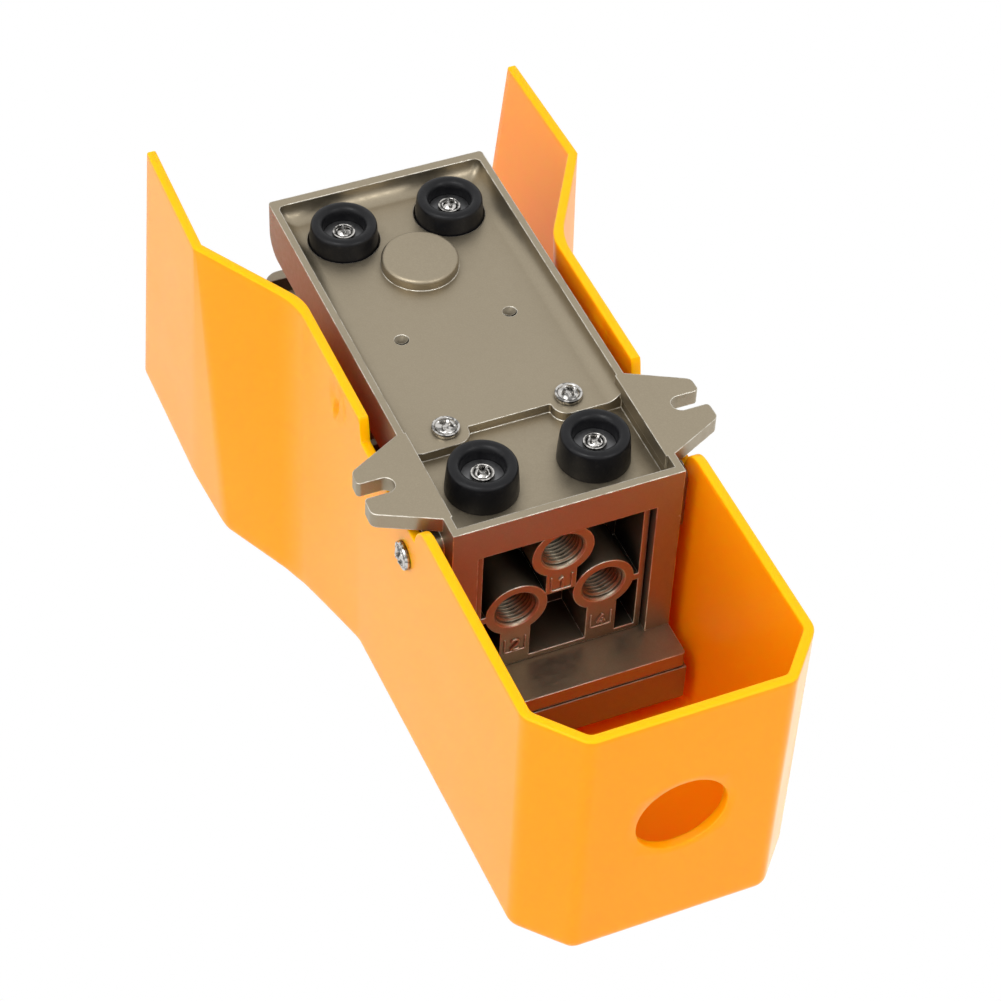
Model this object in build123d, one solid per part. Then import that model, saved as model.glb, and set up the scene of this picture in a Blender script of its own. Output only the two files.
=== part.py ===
from build123d import *
import os
from math import atan2, cos, degrees, radians, sin, sqrt

# Pneumatic foot valve: a die-cast base with four rubber feet and two slotted ears, a valve block
# with three threaded ports in its housing, a long hinged pedal that pushes a vertical spool, and a
# plastic foot guard over the whole. Millimetres, +Z up. The foot goes in towards +Y, so the guard's
# entrance is at -Y and its closed end, with the hose hole, at +Y. The feet stand on Z = 0.

# Overall
overall_length = 291.0
foot_stand_out = 1.2          # how far the feet reach below the base's rim
guard_height = 118.0          # rim to roof over the entrance

# Guard outline: half widths are measured outside the wall
guard_wall = 3.0
guard_half_wide = 64.5        # half width at the entrance wings
guard_tip_inset = 1.0         # the wings are narrower at their front edges, on each side
guard_half_narrow = 43.7      # half width along the body
guard_half_end = 30.5         # half width of the flat closed end
guard_bevel_length = 15.0     # along Y, the bevels at the closed end
guard_flare_length = 34.5     # along Y, from the narrow body to the wings
guard_wing_length = 48.0      # along Y, the wings at the rim
guard_wing_turn_in = 0.6      # the wing's outer edge is turned in by this much
guard_wing_turn = 1.0         # along Y
guard_wing_taper = 0.8        # the wing is narrower at the roof by this much
guard_edge_lean = 21.2        # how far the entrance edge leans forward up to the roof
guard_bulge_inset = 2.5       # narrower where the wing turns in at the roof, on each side
guard_bulge_back = 10.5       # the wing's turn at the roof lies this far behind the rim's
guard_crease_lean = 15.5      # the wing's crease leans forward by this much at the roof
guard_neck_proud = 4.3        # the neck is wider at the roof than at the rim, on each side
guard_neck_back = 6.0         # the neck at the roof lies this far behind the rim's
guard_ramp_length = 46.0      # the roof's ramp down to the rear
guard_ramp_drop = 16.5
guard_rear_drop = 22.5        # roof drop at the closed end
guard_edge_radius = 5.0
guard_inner_radius = 3.0
guard_core_front = 20.0       # how far the hollow is carried on past the entrance
guard_core_rim = 5.0          # and below the rim
hose_hole_diameter = 28.5
hose_hole_height = 44.8       # above the rim

# Base casting
base_length = 152.0
base_width = 72.0
base_depth = 18.7             # rim to the top of the side walls
guard_rear_space = 81.5       # housing face to the guard's closed end
rim_side = 2.25
rim_front = 3.0
rim_rear = 2.6
tray_depth = 5.8
tray_rear_depth = 9.1
tray_step_back = 38.5         # from the housing face to the step in the tray's floor
tray_bay_back = 44.2          # the step's middle part lies further forward
tray_bay_half = 13.3
tray_bay_radius = 0.7
tray_pad_radius = 4.8         # the step's corners beside the block's screws
tray_front_radius = 4.8       # cove between the tray's floor and its front wall
tray_corner_radius = 2.0
floor_thickness = 3.2
upper_wall = 3.2
base_front_radius = 8.0
base_corner_radius = 1.2
pan_front_extra = 2.0         # the upper pan stays this much further from the front edge
foot_seat_margin = 3.0        # radial, around a front foot's seat in the pan
boss_diameter = 24.0
boss_step = 3.7
boss_edge_radius = 1.2
boss_wall = 2.4               # below the spring
boss_rise = 15.7              # from the rim to the pocket's mouth
boss_back = 114.5             # from the housing face to the spring boss
dimple_diameter = 4.4
dimple_back = 85.2
dimple_depth = 0.9

# Slotted ears
ear_thickness = 5.2
ear_reach = 54.2              # half width over the ears
ear_slot_width = 6.0
ear_slot_end = 43.6           # slot bottom, from the middle plane
ear_slot_back = 25.6          # from the housing face
ear_front_back = 43.0         # front root, from the housing face
ear_rear_back = 7.5           # rear root
ear_tip_front = 33.8
ear_tip_rear = 16.4
ear_corner_radius = 2.6
ear_mouth_radius = 1.2
ear_tip_lean = 0.6            # the ear's outer edge leans in by this much at its front

# Feet
foot_top_diameter = 21.9
foot_diameter = 20.5
foot_recess_diameter = 13.2
washer_diameter = 12.6
washer_thickness = 1.0
foot_edge = 1.6               # bevel at the foot's lower edge
foot_recess_edge = 1.2        # bevel at the recess's mouth
foot_floor = 4.4              # rubber between the screw head and the base
foot_half_spacing = 17.65
foot_rear_back = 22.6
foot_front_back = 133.8
foot_pocket_clearance = 0.3

# Screws
screw_diameter = 4.0
pan_head_diameter = 8.6
pan_head_height = 2.6
pan_head_roundness = 0.6      # edge radius as a share of the head's height
foot_head_diameter = 7.2
tap_clearance = 0.05          # radial, between a screw and its hole
pass_clearance = 0.25         # radial, where a screw passes through a lid
hole_tip_room = 1.0           # left below a screw's end
block_screw_hole = 12.0       # depth in the valve block
foot_screw_grip = 8.0         # length of a foot screw above the housing's floor
block_screw_half = 19.6
block_screw_back = 45.5
block_screw_length = 16.0
cross_slot_width = 1.1
cross_slot_length = 4.0
cross_slot_depth = 1.1
bracket_screw_half = 32.0
bracket_screw_inset = 6.0
bracket_screw_length = 14.0
countersink_diameter = 7.4
countersink_depth = 2.2
countersink_gap = 0.1

# Housing
housing_depth = 56.0          # along Y
housing_opening_half = 28.0
housing_front_wall = 4.0
housing_top = 66.4            # above the rim
lug_bottom = 8.0              # above the rim
lug_top = 32.0
lug_rear_back = 6.0
lug_front_back = 46.0
lug_radius = 3.0

# Valve block
block_half_width = 27.1
block_recess = 2.5
block_depth = 49.5
block_gap = 0.25              # under the bracket
block_rim = 1.8
block_pocket_depth = 17.0
port_diameter = 13.2
port_mouth_diameter = 14.4
port_chamfer = 0.6
port_boss_diameter = 19.6
port_depth = 13.5
port_inner_diameter = 7.0
port_supply_height = 22.7     # above the rim
port_side_height = 42.4
port_side_half = 13.95
label_half_width = 4.8
label_bottom_height = 39.5
web_thickness = 2.4
web_rise = 0.8                # the side webs' height above the side ports' middle
exhaust_diameter = 6.0
exhaust_offset = 10.5         # above and below the middle of the spool

# Spool and what closes its bore
spool_back = 36.0             # from the housing face
spool_bore = 16.0
running_clearance = 0.05      # radial
spool_length = 34.0
spool_bottom = 24.0           # above the rim
spool_neck_diameter = 10.5
spool_land_length = 3.4
spool_land_count = 5
seal_width = 1.7
seal_groove_depth = 1.5
seal_gap = 0.02
spring_bore_diameter = 8.4
spring_bore_depth = 9.0
rod_diameter = 8.0
spool_spring_wire = 1.1
spool_spring_coils = 6
spool_spring_clearance = 0.3  # radial, in its bore
plug_height = 4.2
plug_groove_width = 1.6
plug_groove_depth = 1.3
bush_height = 7.0
bush_seal_height = 2.4
bush_seal_diameter = 12.6
cap_diameter = 13.0
cap_dome_radius = 12.0
cap_height = 5.4
cap_socket_depth = 2.4
cap_hole_clearance = 1.2      # radial, in the bracket
push_gap = 0.25
push_pad_rise = 0.6           # the pad's face above the hinge axis

# Hinge bracket
bracket_thickness = 5.6
bracket_ledge = 12.5          # how far it stands out behind the housing
bracket_edge_radius = 1.2
hinge_lug_thickness = 6.0
hinge_lug_half = 21.0
hinge_lug_radius = 5.0
hinge_ledge_inset = 5.5       # hinge axis in front of the housing face
hinge_rise = 5.5              # hinge axis above the bracket

# Pedal
pedal_overhang = 0.5          # beyond the base on each side
pedal_plate = 4.0
pedal_skirt = 3.0             # wall thickness
pedal_skirt_depth = 10.0
pedal_heel_behind = 12.9      # heel behind the housing face
pedal_heel_top = 16.0         # above the bracket
pedal_bend_top = 12.0         # above the bracket, at the bend
pedal_bend_ahead = 0.5        # bend ahead of the housing's front wall
pedal_front_back = 161.0      # from the housing face to the pedal's front edge
pedal_front_top = 48.0        # above the rim
pedal_rest_gap = 0.5
pedal_edge_radius = 2.4       # along the tread's two sides and over the heel
pedal_corner_radius = 6.0
pedal_swing = 8.0             # degrees
pedal_step_clearance = 3.0
pedal_step_length = 6.0       # the skirt's lower edge rises over this length
pedal_neck_reach = 4.0        # the raised edge's length above the housing
pedal_rest_length = 12.0      # the heel's resting face ahead of the hinge axis
pedal_rest_relief = 1.6       # rise of the skirt's edge ahead of that face
push_pad_diameter = 14.0
tread_rib_count = 11
tread_rib_pitch = 7.5
tread_rib_height = 1.2
tread_rib_width = 2.6
tread_rib_inset = 6.0
tread_rib_start = 9.0         # first bar behind the front edge
stiffener_thickness = 2.6
stiffener_depth = 5.0
stiffener_count = 4
stiffener_end = 4.0           # the long stiffeners end this far from the tread's ends
stiffener_margin = 3.0        # from the spring's cup to the long stiffeners
hinge_boss_diameter = 10.2
hinge_boss_thickness = 5.0
hinge_boss_reach = 9.0        # along Y on both sides of the hinge axis

# Hinge pin, bushes and clips
pin_diameter = 6.0
pin_end_length = 0.95          # beyond its clip
pin_chamfer = 0.5
bush_wall = 1.0
bush_flange_diameter = 12.0
bush_flange = 0.8
clip_thickness = 0.8
clip_diameter = 10.5
clip_groove_depth = 0.6
clip_mouth = 4.4
clip_gap = 0.15

# Pedal spring and stop
pedal_spring_diameter = 18.0
pedal_spring_wire = 2.0
pedal_spring_coils = 7
spring_pocket_diameter = 20.0
spring_cup_diameter = 25.0
spring_cup_wall = 2.0
spring_cup_depth = 3.0
spring_seat_below = 4.0       # spring seat below the pedal's plate
spring_gap = 0.25
bumper_diameter = 14.0
bumper_back = 138.0
bumper_gap = 0.6
bumper_neck_diameter = 6.0
bumper_neck_room = 0.1
bumper_seat_margin = 1.5      # radial, around the bumper's seat in the pan
bumper_edge_radius = 2.0
stop_foot_margin = 2.0        # radial, the foot that lands on the bumper
stop_foot_reach = 3.0         # below the pedal's stiffeners
bumper_skin = 1.4             # base left below the bumper's neck
seat_touch = 0.05             # a spring's end above its seat

# Guard fastenings
guard_screw_diameter = 5.0
guard_screw_head = 9.0
guard_screw_head_height = 2.8
guard_screw_back = 16.5
guard_screw_height = 21.0
guard_screw_length = 12.0
guard_lug_gap = 0.2
notch_rear_back = 9.5
notch_front_back = 46.1       # on the right
notch_left_extra = 5.8        # the left notch starts this much further forward
notch_depth = 8.6
notch_rear_radius = 8.0
notch_front_radius = 1.8
notch_root_radius = 1.5
snap_back = 72.0
snap_height = 15.0
snap_radius = 9.0
snap_depth = 1.6

# Derived places
rim_z = foot_stand_out
foot_height = foot_stand_out + tray_rear_depth
guard_rear_y = overall_length / 2
face_y = guard_rear_y - guard_rear_space
base_front_y = face_y - base_length
half_width = base_width / 2
pedal_half_width = half_width + pedal_overhang
wall_top_z = rim_z + base_depth
floor_z = rim_z + tray_depth
rear_floor_z = rim_z + tray_rear_depth
seat_z = rear_floor_z + floor_thickness
housing_front_y = face_y - housing_depth
housing_top_z = rim_z + housing_top
bracket_top_z = housing_top_z + bracket_thickness
block_rear_y = face_y - block_recess
block_front_y = block_rear_y - block_depth
block_top_z = housing_top_z - block_gap
spool_y = face_y - spool_back
spool_z = rim_z + spool_bottom
hinge_y = face_y - hinge_ledge_inset
hinge_z = bracket_top_z + hinge_rise
push_arm = hinge_y - spool_y
pad_z = hinge_z + push_pad_rise
boss_y = face_y - boss_back
bend_y = housing_front_y - pedal_bend_ahead
pedal_front_y = face_y - pedal_front_back
pedal_slope = (bracket_top_z + pedal_bend_top - rim_z - pedal_front_top) / (bend_y - pedal_front_y)
guard_x = guard_half_narrow
lug_x = guard_half_narrow - guard_wall - guard_lug_gap


def block(x0, x1, y0, y1, z0, z1):
    size = Box(x1 - x0, y1 - y0, z1 - z0)
    return Pos((x0 + x1) / 2, (y0 + y1) / 2, (z0 + z1) / 2) * size


def rod_z(x, y, z0, z1, diameter):
    return Pos(x, y, (z0 + z1) / 2) * Cylinder(diameter / 2, z1 - z0)


def rod_x(x0, x1, y, z, diameter):
    return Pos((x0 + x1) / 2, y, z) * Rot(0, 90, 0) * Cylinder(diameter / 2, x1 - x0)


def rod_y(x, y0, y1, z, diameter):
    return Pos(x, (y0 + y1) / 2, z) * Rot(90, 0, 0) * Cylinder(diameter / 2, y1 - y0)


def side_profile(points, x0, x1):
    """A flat outline in Y and Z, carried from x0 to x1."""
    outline = make_face(Polyline(*[(0, y, z) for y, z in points], close=True))
    return Pos(x0, 0, 0) * extrude(outline, amount=x1 - x0, dir=(1, 0, 0))


def ring_z(x, y, z0, z1, outer, inner):
    return rod_z(x, y, z0, z1, outer) - rod_z(x, y, z0 - 1, z1 + 1, inner)


def edges_at(solid, axis_a, value_a, axis_b, value_b, reach=0.05):
    """Edges whose middle lies at two given coordinates."""
    found = solid.edges().filter_by_position(axis_a, value_a - reach, value_a + reach)
    return found.filter_by_position(axis_b, value_b - reach, value_b + reach)


def coil(x, y, z0, z1, diameter, wire, turns):
    """A compression spring between two heights, its wire on a helix."""
    radius = (diameter - wire) / 2
    height = z1 - z0 - wire
    path = Helix(pitch=height / turns, height=height, radius=radius)
    section = Plane(path @ 0, z_dir=path % 0) * Circle(wire / 2)
    return Pos(x, y, z0 + wire / 2) * sweep(section, path=path, is_frenet=True)


def cross_slots(axis_point, direction):
    """A cross-shaped driver slot for a screw head, cut in from its face."""
    bar = Box(cross_slot_length, cross_slot_width, cross_slot_depth * 2)
    other = Box(cross_slot_width, cross_slot_length, cross_slot_depth * 2)
    return Plane(axis_point, z_dir=direction) * (bar + other)


def pan_screw(point, direction, head_diameter, head_height, length, diameter):
    """A domed pan-head screw: its head's flat side is at the point, its shank goes the other way."""
    head = Pos(0, 0, head_height / 2) * Cylinder(head_diameter / 2, head_height)
    head = fillet(head.edges().sort_by(Axis.Z)[-1], head_height * pan_head_roundness)
    shank = Pos(0, 0, -length / 2) * Cylinder(diameter / 2, length)
    screw = Plane(point, z_dir=direction) * (head + shank)
    face = Vector(*point) + Vector(*direction) * head_height
    return screw - cross_slots(tuple(face), direction)


def mirrored(solid):
    return mirror(solid, about=Plane.YZ)


# Guard outlines, front to rear on the +X side, at the rim and at the roof
def guard_rim_outline():
    bevel_y = guard_rear_y - guard_bevel_length
    wing_front_y = -guard_rear_y + guard_edge_lean
    wing_back_y = wing_front_y + guard_wing_length
    neck_y = wing_back_y + guard_flare_length
    return [(guard_half_wide - guard_tip_inset, wing_front_y), (guard_half_wide, wing_back_y),
            (guard_half_wide - guard_wing_turn_in, wing_back_y + guard_wing_turn),
            (guard_half_narrow, neck_y),
            (guard_half_narrow, neck_y + guard_ramp_length + guard_neck_back),
            (guard_half_narrow, bevel_y), (guard_half_end, guard_rear_y)]


def guard_roof_outline():
    rim = guard_rim_outline()
    front_y = -guard_rear_y
    return [(guard_half_wide - guard_tip_inset, front_y),
             (guard_half_wide - guard_wing_taper, rim[1][1] - guard_crease_lean),
            (guard_half_wide - guard_bulge_inset, rim[2][1] + guard_bulge_back),
            (guard_half_narrow + guard_neck_proud, rim[3][1] + guard_neck_back), *rim[4:]]


def inset_outline(points, inset, front_reach):
    """The half outline moved inwards by the wall; its front end is carried on by front_reach."""
    moved = []
    whole = points + [(-points[-1][0], points[-1][1])]
    for i, (x, y) in enumerate(points):
        ahead = whole[i + 1]
        behind = whole[i - 1] if i else (2 * x - ahead[0], 2 * y - ahead[1])
        n_in = edge_normal(behind, (x, y))
        n_out = edge_normal((x, y), ahead)
        scale = inset / (1 + n_in[0] * n_out[0] + n_in[1] * n_out[1])
        moved.append((x - (n_in[0] + n_out[0]) * scale, y - (n_in[1] + n_out[1]) * scale))
    moved[0] = (moved[0][0], moved[0][1] - front_reach)
    return moved


def edge_normal(a, b):
    dx, dy = b[0] - a[0], b[1] - a[1]
    length = sqrt(dx * dx + dy * dy)
    return dy / length, -dx / length


def roof_profile(inset, front_reach, rim_reach, neck_y, ramp_y):
    """The guard's side outline in Y and Z: leaning entrance edge, flat roof, ramp and rear roof."""
    roof_z = rim_z + guard_height - inset
    front = -guard_rear_y - front_reach
    low = rim_z - rim_reach
    points = [(front + guard_edge_lean, low), (front, roof_z), (neck_y, roof_z),
              (ramp_y, roof_z - guard_ramp_drop), (guard_rear_y - inset, roof_z - guard_rear_drop),
              (guard_rear_y - inset, low)]
    return side_profile(points, -guard_half_wide - 1, guard_half_wide + 1)


def guard_form(inset=0.0, front_reach=0.0, rim_reach=0.0):
    """The guard's closed form: ruled walls between the rim and roof outlines, under the roof."""
    sections = []
    for z, outline in ((rim_z, guard_rim_outline()), (rim_z + guard_height, guard_roof_outline())):
        half = inset_outline(outline, inset, front_reach) if inset else outline
        ring = half + [(-x, y) for x, y in reversed(half)]
        sections.append(make_face(Polyline(*[(x, y, z) for x, y in ring], close=True)))
    neck_y, ramp_y = half[3][1], half[4][1]
    walls = loft(sections, ruled=True)
    if rim_reach:
        walls += extrude(sections[0], amount=rim_reach, dir=(0, 0, -1))
    return walls & roof_profile(inset, front_reach, rim_reach, neck_y, ramp_y)


def make_guard():
    """The plastic shell: one side is finished and then mirrored."""
    outer = round_roof(guard_form(), 0.0, guard_edge_radius)
    inner = guard_form(guard_wall, guard_core_front, guard_core_rim)
    shell = outer - round_roof(inner, guard_wall, guard_inner_radius)
    hose_z = rim_z + hose_hole_height
    shell -= rod_y(0, guard_rear_y - guard_wall - 5, guard_rear_y + 5, hose_z, hose_hole_diameter)
    half = shell & block(0, guard_half_wide + 1, -guard_rear_y - 1, guard_rear_y + 1,
                         rim_z - 1, rim_z + guard_height + 1)
    half -= ear_notch()
    half -= rod_x(guard_x - 6, guard_x + 6, face_y - guard_screw_back,
                  rim_z + guard_screw_height, guard_screw_diameter + 4 * tap_clearance)
    half = press_snap(half)
    other = mirrored(half) - mirrored(ear_notch(notch_left_extra))
    return half + other


def round_roof(solid, inset, radius):
    """Rounds the edges between the roof and the walls, apart from the entrance edge."""
    low = rim_z + guard_height - guard_rear_drop - inset - 0.5
    roof_edges = [e for e in solid.edges()
                  if e.bounding_box().min.Z > low and abs((e @ 0.5).X) > guard_half_end - inset - 3
                  and e.bounding_box().size.Y > 0.5]
    rear = edges_at(solid, Axis.Y, guard_rear_y - inset, Axis.Z,
                    rim_z + guard_height - guard_rear_drop - inset)
    return fillet(ShapeList(roof_edges) + rear, radius)


def ear_notch(front_extra=0.0):
    """The notch in the rim that an ear passes through, with rounded roots and mouths."""
    y0, y1 = face_y - notch_front_back - front_extra, face_y - notch_rear_back
    x0, x1 = guard_x - 8, guard_x + 5
    notch = block(x0, x1, y0, y1, rim_z - 1, rim_z + notch_depth)
    root = edges_at(notch, Axis.Z, rim_z + notch_depth, Axis.X, (x0 + x1) / 2)
    notch = fillet(root, notch_root_radius)
    for y, radius, way in ((y0, notch_front_radius, -1), (y1, notch_rear_radius, 1)):
        centre = y + way * radius
        mouth = block(x0, x1, min(y - way, centre), max(y - way, centre), rim_z - 1, rim_z + radius)
        notch += mouth - rod_x(x0 - 1, x1 + 1, centre, rim_z + radius, 2 * radius)
    return notch


def press_snap(half):
    """A shallow dimple pressed into the wall from outside, which stands out as a bump inside."""
    y, z = face_y - snap_back, rim_z + snap_height
    x = guard_x + snap_radius - snap_depth
    bump = Pos(x - guard_wall, y, z) * Sphere(snap_radius)
    room = block(guard_x - 2 * guard_wall, guard_x - guard_wall / 2, y - snap_radius,
                 y + snap_radius, z - snap_radius, z + snap_radius)
    return half + (bump & room) - Pos(x, y, z) * Sphere(snap_radius)


def ear_outline():
    """One ear in plan: tapered plate with rounded corners and a slot open to its outer edge."""
    front, rear = face_y - ear_front_back, face_y - ear_rear_back
    tip_front, tip_rear = face_y - ear_tip_front, face_y - ear_tip_rear
    slot_y = face_y - ear_slot_back
    root = half_width - rim_side - 0.5
    plate = make_face(Polyline((root, front), (half_width, front), (ear_reach - ear_tip_lean, tip_front),
                               (ear_reach, tip_rear), (half_width, rear), (root, rear),
                               close=True))
    tips = [v for v in plate.vertices() if abs(v.Y - tip_front) < 0.01 or abs(v.Y - tip_rear) < 0.01]
    plate = fillet(tips, ear_corner_radius)
    slot = Pos(ear_slot_end + 10, slot_y) * Rectangle(20, ear_slot_width)
    slot = fillet(slot.vertices().sort_by(Axis.X)[:2], ear_slot_width / 2 - 0.1)
    return plate - slot


def make_ear(side):
    ear = Pos(0, 0, rim_z) * extrude(ear_outline(), amount=ear_thickness)
    slot_y = face_y - ear_slot_back
    mouth = [e for e in ear.edges().filter_by(Axis.Z) if (e @ 0.5).X > ear_reach - 1.0
             and abs(abs((e @ 0.5).Y - slot_y) - ear_slot_width / 2) < 0.05]
    ear = fillet(mouth, ear_mouth_radius)
    return ear if side > 0 else mirrored(ear)


def foot_places():
    return [(side * foot_half_spacing, face_y - back) for back in (foot_rear_back, foot_front_back)
            for side in (-1, 1)]


def block_screw_places():
    return [(side * block_screw_half, face_y - block_screw_back) for side in (-1, 1)]


def bracket_screw_places():
    ys = (housing_front_y + bracket_screw_inset, face_y - bracket_screw_inset)
    return [(side * bracket_screw_half, y) for y in ys for side in (-1, 1)]


def make_base():
    """The casting: tray with feet pads below, open pan above, housing walls, lugs and ears."""
    body = block(-half_width, half_width, base_front_y, face_y, rim_z, wall_top_z)
    body = fillet(edges_at(body, Axis.Y, base_front_y, Axis.Z, wall_top_z), base_front_radius)
    corners = [e for e in body.edges().filter_by(Axis.Z) if (e @ 0.5).Y < base_front_y + 0.1]
    body = fillet(corners, base_corner_radius)
    body += block(-half_width, half_width, housing_front_y, face_y, wall_top_z, housing_top_z)
    body += guard_lugs()
    body -= tray_below()
    body -= pan_above()
    body -= block(-housing_opening_half, housing_opening_half, housing_front_y + housing_front_wall,
                  face_y + 1, seat_z, housing_top_z + 1)
    body += spring_boss()
    body += front_foot_seats()
    body += make_ear(1) + make_ear(-1)
    return cut_base_holes(body)


def tray_below():
    """The tray's hollow: shallow in front, deeper behind a step whose middle lies further forward."""
    step_y, bay_y = face_y - tray_step_back, face_y - tray_bay_back
    x = half_width - rim_side
    front = block(-x, x, base_front_y + rim_front, face_y - rim_rear, rim_z - 1, floor_z)
    front = fillet(front.edges().filter_by(Axis.Z).sort_by(Axis.Y)[:2], tray_corner_radius)
    cove = edges_at(front, Axis.Y, base_front_y + rim_front, Axis.Z, floor_z)
    front = fillet(cove, tray_front_radius)
    rear = block(-x, x, step_y, face_y - rim_rear, rim_z, rear_floor_z)
    bay = block(-tray_bay_half, tray_bay_half, bay_y, step_y + 1, rim_z, rear_floor_z)
    bay = fillet(bay.edges().filter_by(Axis.Z).sort_by(Axis.Y)[:2], tray_bay_radius)
    rear += bay
    pads = [e for e in rear.edges().filter_by(Axis.Z)
            if abs((e @ 0.5).Y - step_y) < 0.01 and abs((e @ 0.5).X) < tray_bay_half + 0.01]
    return front + fillet(pads, tray_pad_radius)


def pan_above():
    x = half_width - upper_wall
    top = floor_z + floor_thickness
    pan = block(-x, x, base_front_y + upper_wall + pan_front_extra, housing_front_y, top, wall_top_z + 1)
    return fillet(pan.edges().filter_by(Axis.Z), tray_corner_radius)


def spring_boss():
    """The boss under the tray's floor that rises as the wall of the pedal spring's pocket."""
    boss_z = floor_z - boss_step
    boss = rod_z(0, boss_y, boss_z, rim_z + boss_rise, boss_diameter)
    return fillet(boss.edges().sort_by(Axis.Z)[0], boss_edge_radius)


def front_foot_seats():
    seats = [rod_z(x, y, floor_z, bumper_seat_z(), foot_top_diameter + 2 * foot_seat_margin)
             for x, y in foot_places()[2:]]
    return seats[0] + seats[1] + rod_z(0, face_y - bumper_back, floor_z, bumper_seat_z(),
                                       bumper_diameter + 2 * bumper_seat_margin)


def spring_foot_z():
    return floor_z - boss_step + boss_wall


def bumper_seat_z():
    return foot_height + floor_thickness


def bumper_neck_z():
    return floor_z + bumper_skin


def guard_lugs():
    lug = block(half_width - 1, lug_x, face_y - lug_front_back, face_y - lug_rear_back,
                rim_z + lug_bottom, rim_z + lug_top)
    lug = fillet(lug.edges().filter_by(Axis.X), lug_radius)
    return lug + mirrored(lug)


def cut_base_holes(body):
    for i, (x, y) in enumerate(foot_places()):
        hole_top = seat_z + 1 if i < 2 else wall_top_z
        body -= rod_z(x, y, rim_z, hole_top, screw_diameter + 2 * tap_clearance)
        if i >= 2:
            pocket = foot_top_diameter + 2 * foot_pocket_clearance
            body -= rod_z(x, y, rim_z, foot_height, pocket)
    for x, y in block_screw_places():
        body -= rod_z(x, y, rim_z, seat_z + 1, screw_diameter + 2 * tap_clearance)
    for x, y in bracket_screw_places():
        hole = housing_top_z - bracket_screw_length
        body -= rod_z(x, y, hole, housing_top_z + 1, screw_diameter + 2 * tap_clearance)
    for side in (-1, 1):
        dimple = Pos(side * foot_half_spacing, face_y - dimple_back, floor_z)
        body -= dimple * Cylinder(dimple_diameter / 2, 2 * dimple_depth)
        end = side * (lug_x - guard_screw_length)
        body -= rod_x(min(end, side * (lug_x + 1)), max(end, side * (lug_x + 1)),
                      face_y - guard_screw_back, rim_z + guard_screw_height,
                      guard_screw_diameter + 2 * tap_clearance)
    body -= rod_z(0, boss_y, spring_foot_z(), wall_top_z, spring_pocket_diameter)
    neck = bumper_neck_diameter + 2 * tap_clearance
    body -= rod_z(0, face_y - bumper_back, bumper_neck_z() - bumper_neck_room, bumper_seat_z() + 1, neck)
    return body


def make_bracket():
    """The housing's lid: the rear ledge that the pedal's heel rests on, and the two hinge lugs."""
    rear_y = face_y + bracket_ledge
    plate = block(-half_width, half_width, housing_front_y, rear_y, housing_top_z, bracket_top_z)
    plate = fillet(plate.edges().filter_by(Axis.Z).sort_by(Axis.Y)[-2:], bracket_edge_radius)
    lugs = []
    for side in (-1, 1):
        x0 = side * hinge_lug_half - hinge_lug_thickness / 2
        x1 = x0 + hinge_lug_thickness
        lug = block(x0, x1, hinge_y - hinge_lug_radius, hinge_y + hinge_lug_radius,
                    bracket_top_z - 1, hinge_z)
        lugs.append(lug + rod_x(x0, x1, hinge_y, hinge_z, 2 * hinge_lug_radius))
    plate += lugs[0] + lugs[1]
    pin_hole = pin_diameter + 2 * tap_clearance
    plate -= rod_x(-half_width, half_width, hinge_y, hinge_z, pin_hole)
    plate -= rod_z(0, spool_y, housing_top_z - 1, bracket_top_z + 1,
                   cap_diameter + 2 * cap_hole_clearance)
    for x, y in bracket_screw_places():
        plate -= rod_z(x, y, housing_top_z - 1, bracket_top_z + 1,
                       screw_diameter + 2 * pass_clearance)
        plate -= countersink(x, y, countersink_gap)
    return plate


def countersink(x, y, clearance):
    cone = Cone(screw_diameter / 2 + clearance, countersink_diameter / 2 + clearance,
                countersink_depth + clearance)
    return Pos(x, y, bracket_top_z - countersink_depth / 2) * cone


def make_bracket_screws():
    screws = []
    for x, y in bracket_screw_places():
        shank = rod_z(x, y, housing_top_z - bracket_screw_length + hole_tip_room,
                      bracket_top_z - countersink_depth, screw_diameter)
        head = countersink(x, y, 0.0)
        screws.append(shank + head - cross_slots((x, y, bracket_top_z), (0, 0, 1)))
    return Compound(children=screws)


def port_places():
    return [(0, rim_z + port_supply_height), (-port_side_half, rim_z + port_side_height),
            (port_side_half, rim_z + port_side_height)]


def block_web():
    """The block's rear face: rim, three port bosses, label plates and the webs between them."""
    z0, z1 = seat_z, block_top_z
    middle = (z0 + z1) / 2
    face = Pos(0, middle) * Rectangle(2 * block_half_width, z1 - z0)
    window = Rectangle(2 * (block_half_width - block_rim), z1 - z0 - 2 * block_rim)
    face -= Pos(0, middle) * window
    (px, pz), (lx, lz), (rx, rz) = port_places()
    for x, z in port_places():
        face += Pos(x, z) * Circle(port_boss_diameter / 2)
    label_z = rim_z + label_bottom_height
    face += Pos(px, (pz + label_z) / 2) * Rectangle(2 * label_half_width, label_z - pz)
    for x, z in ((lx, lz), (rx, rz)):
        face += Pos(x, (z + z1) / 2) * Rectangle(2 * label_half_width, z1 - z)
        edge = block_half_width if x > 0 else -block_half_width
        face += Pos((x + edge) / 2, z + web_rise) * Rectangle(abs(edge - x), web_thickness)
    return face


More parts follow.
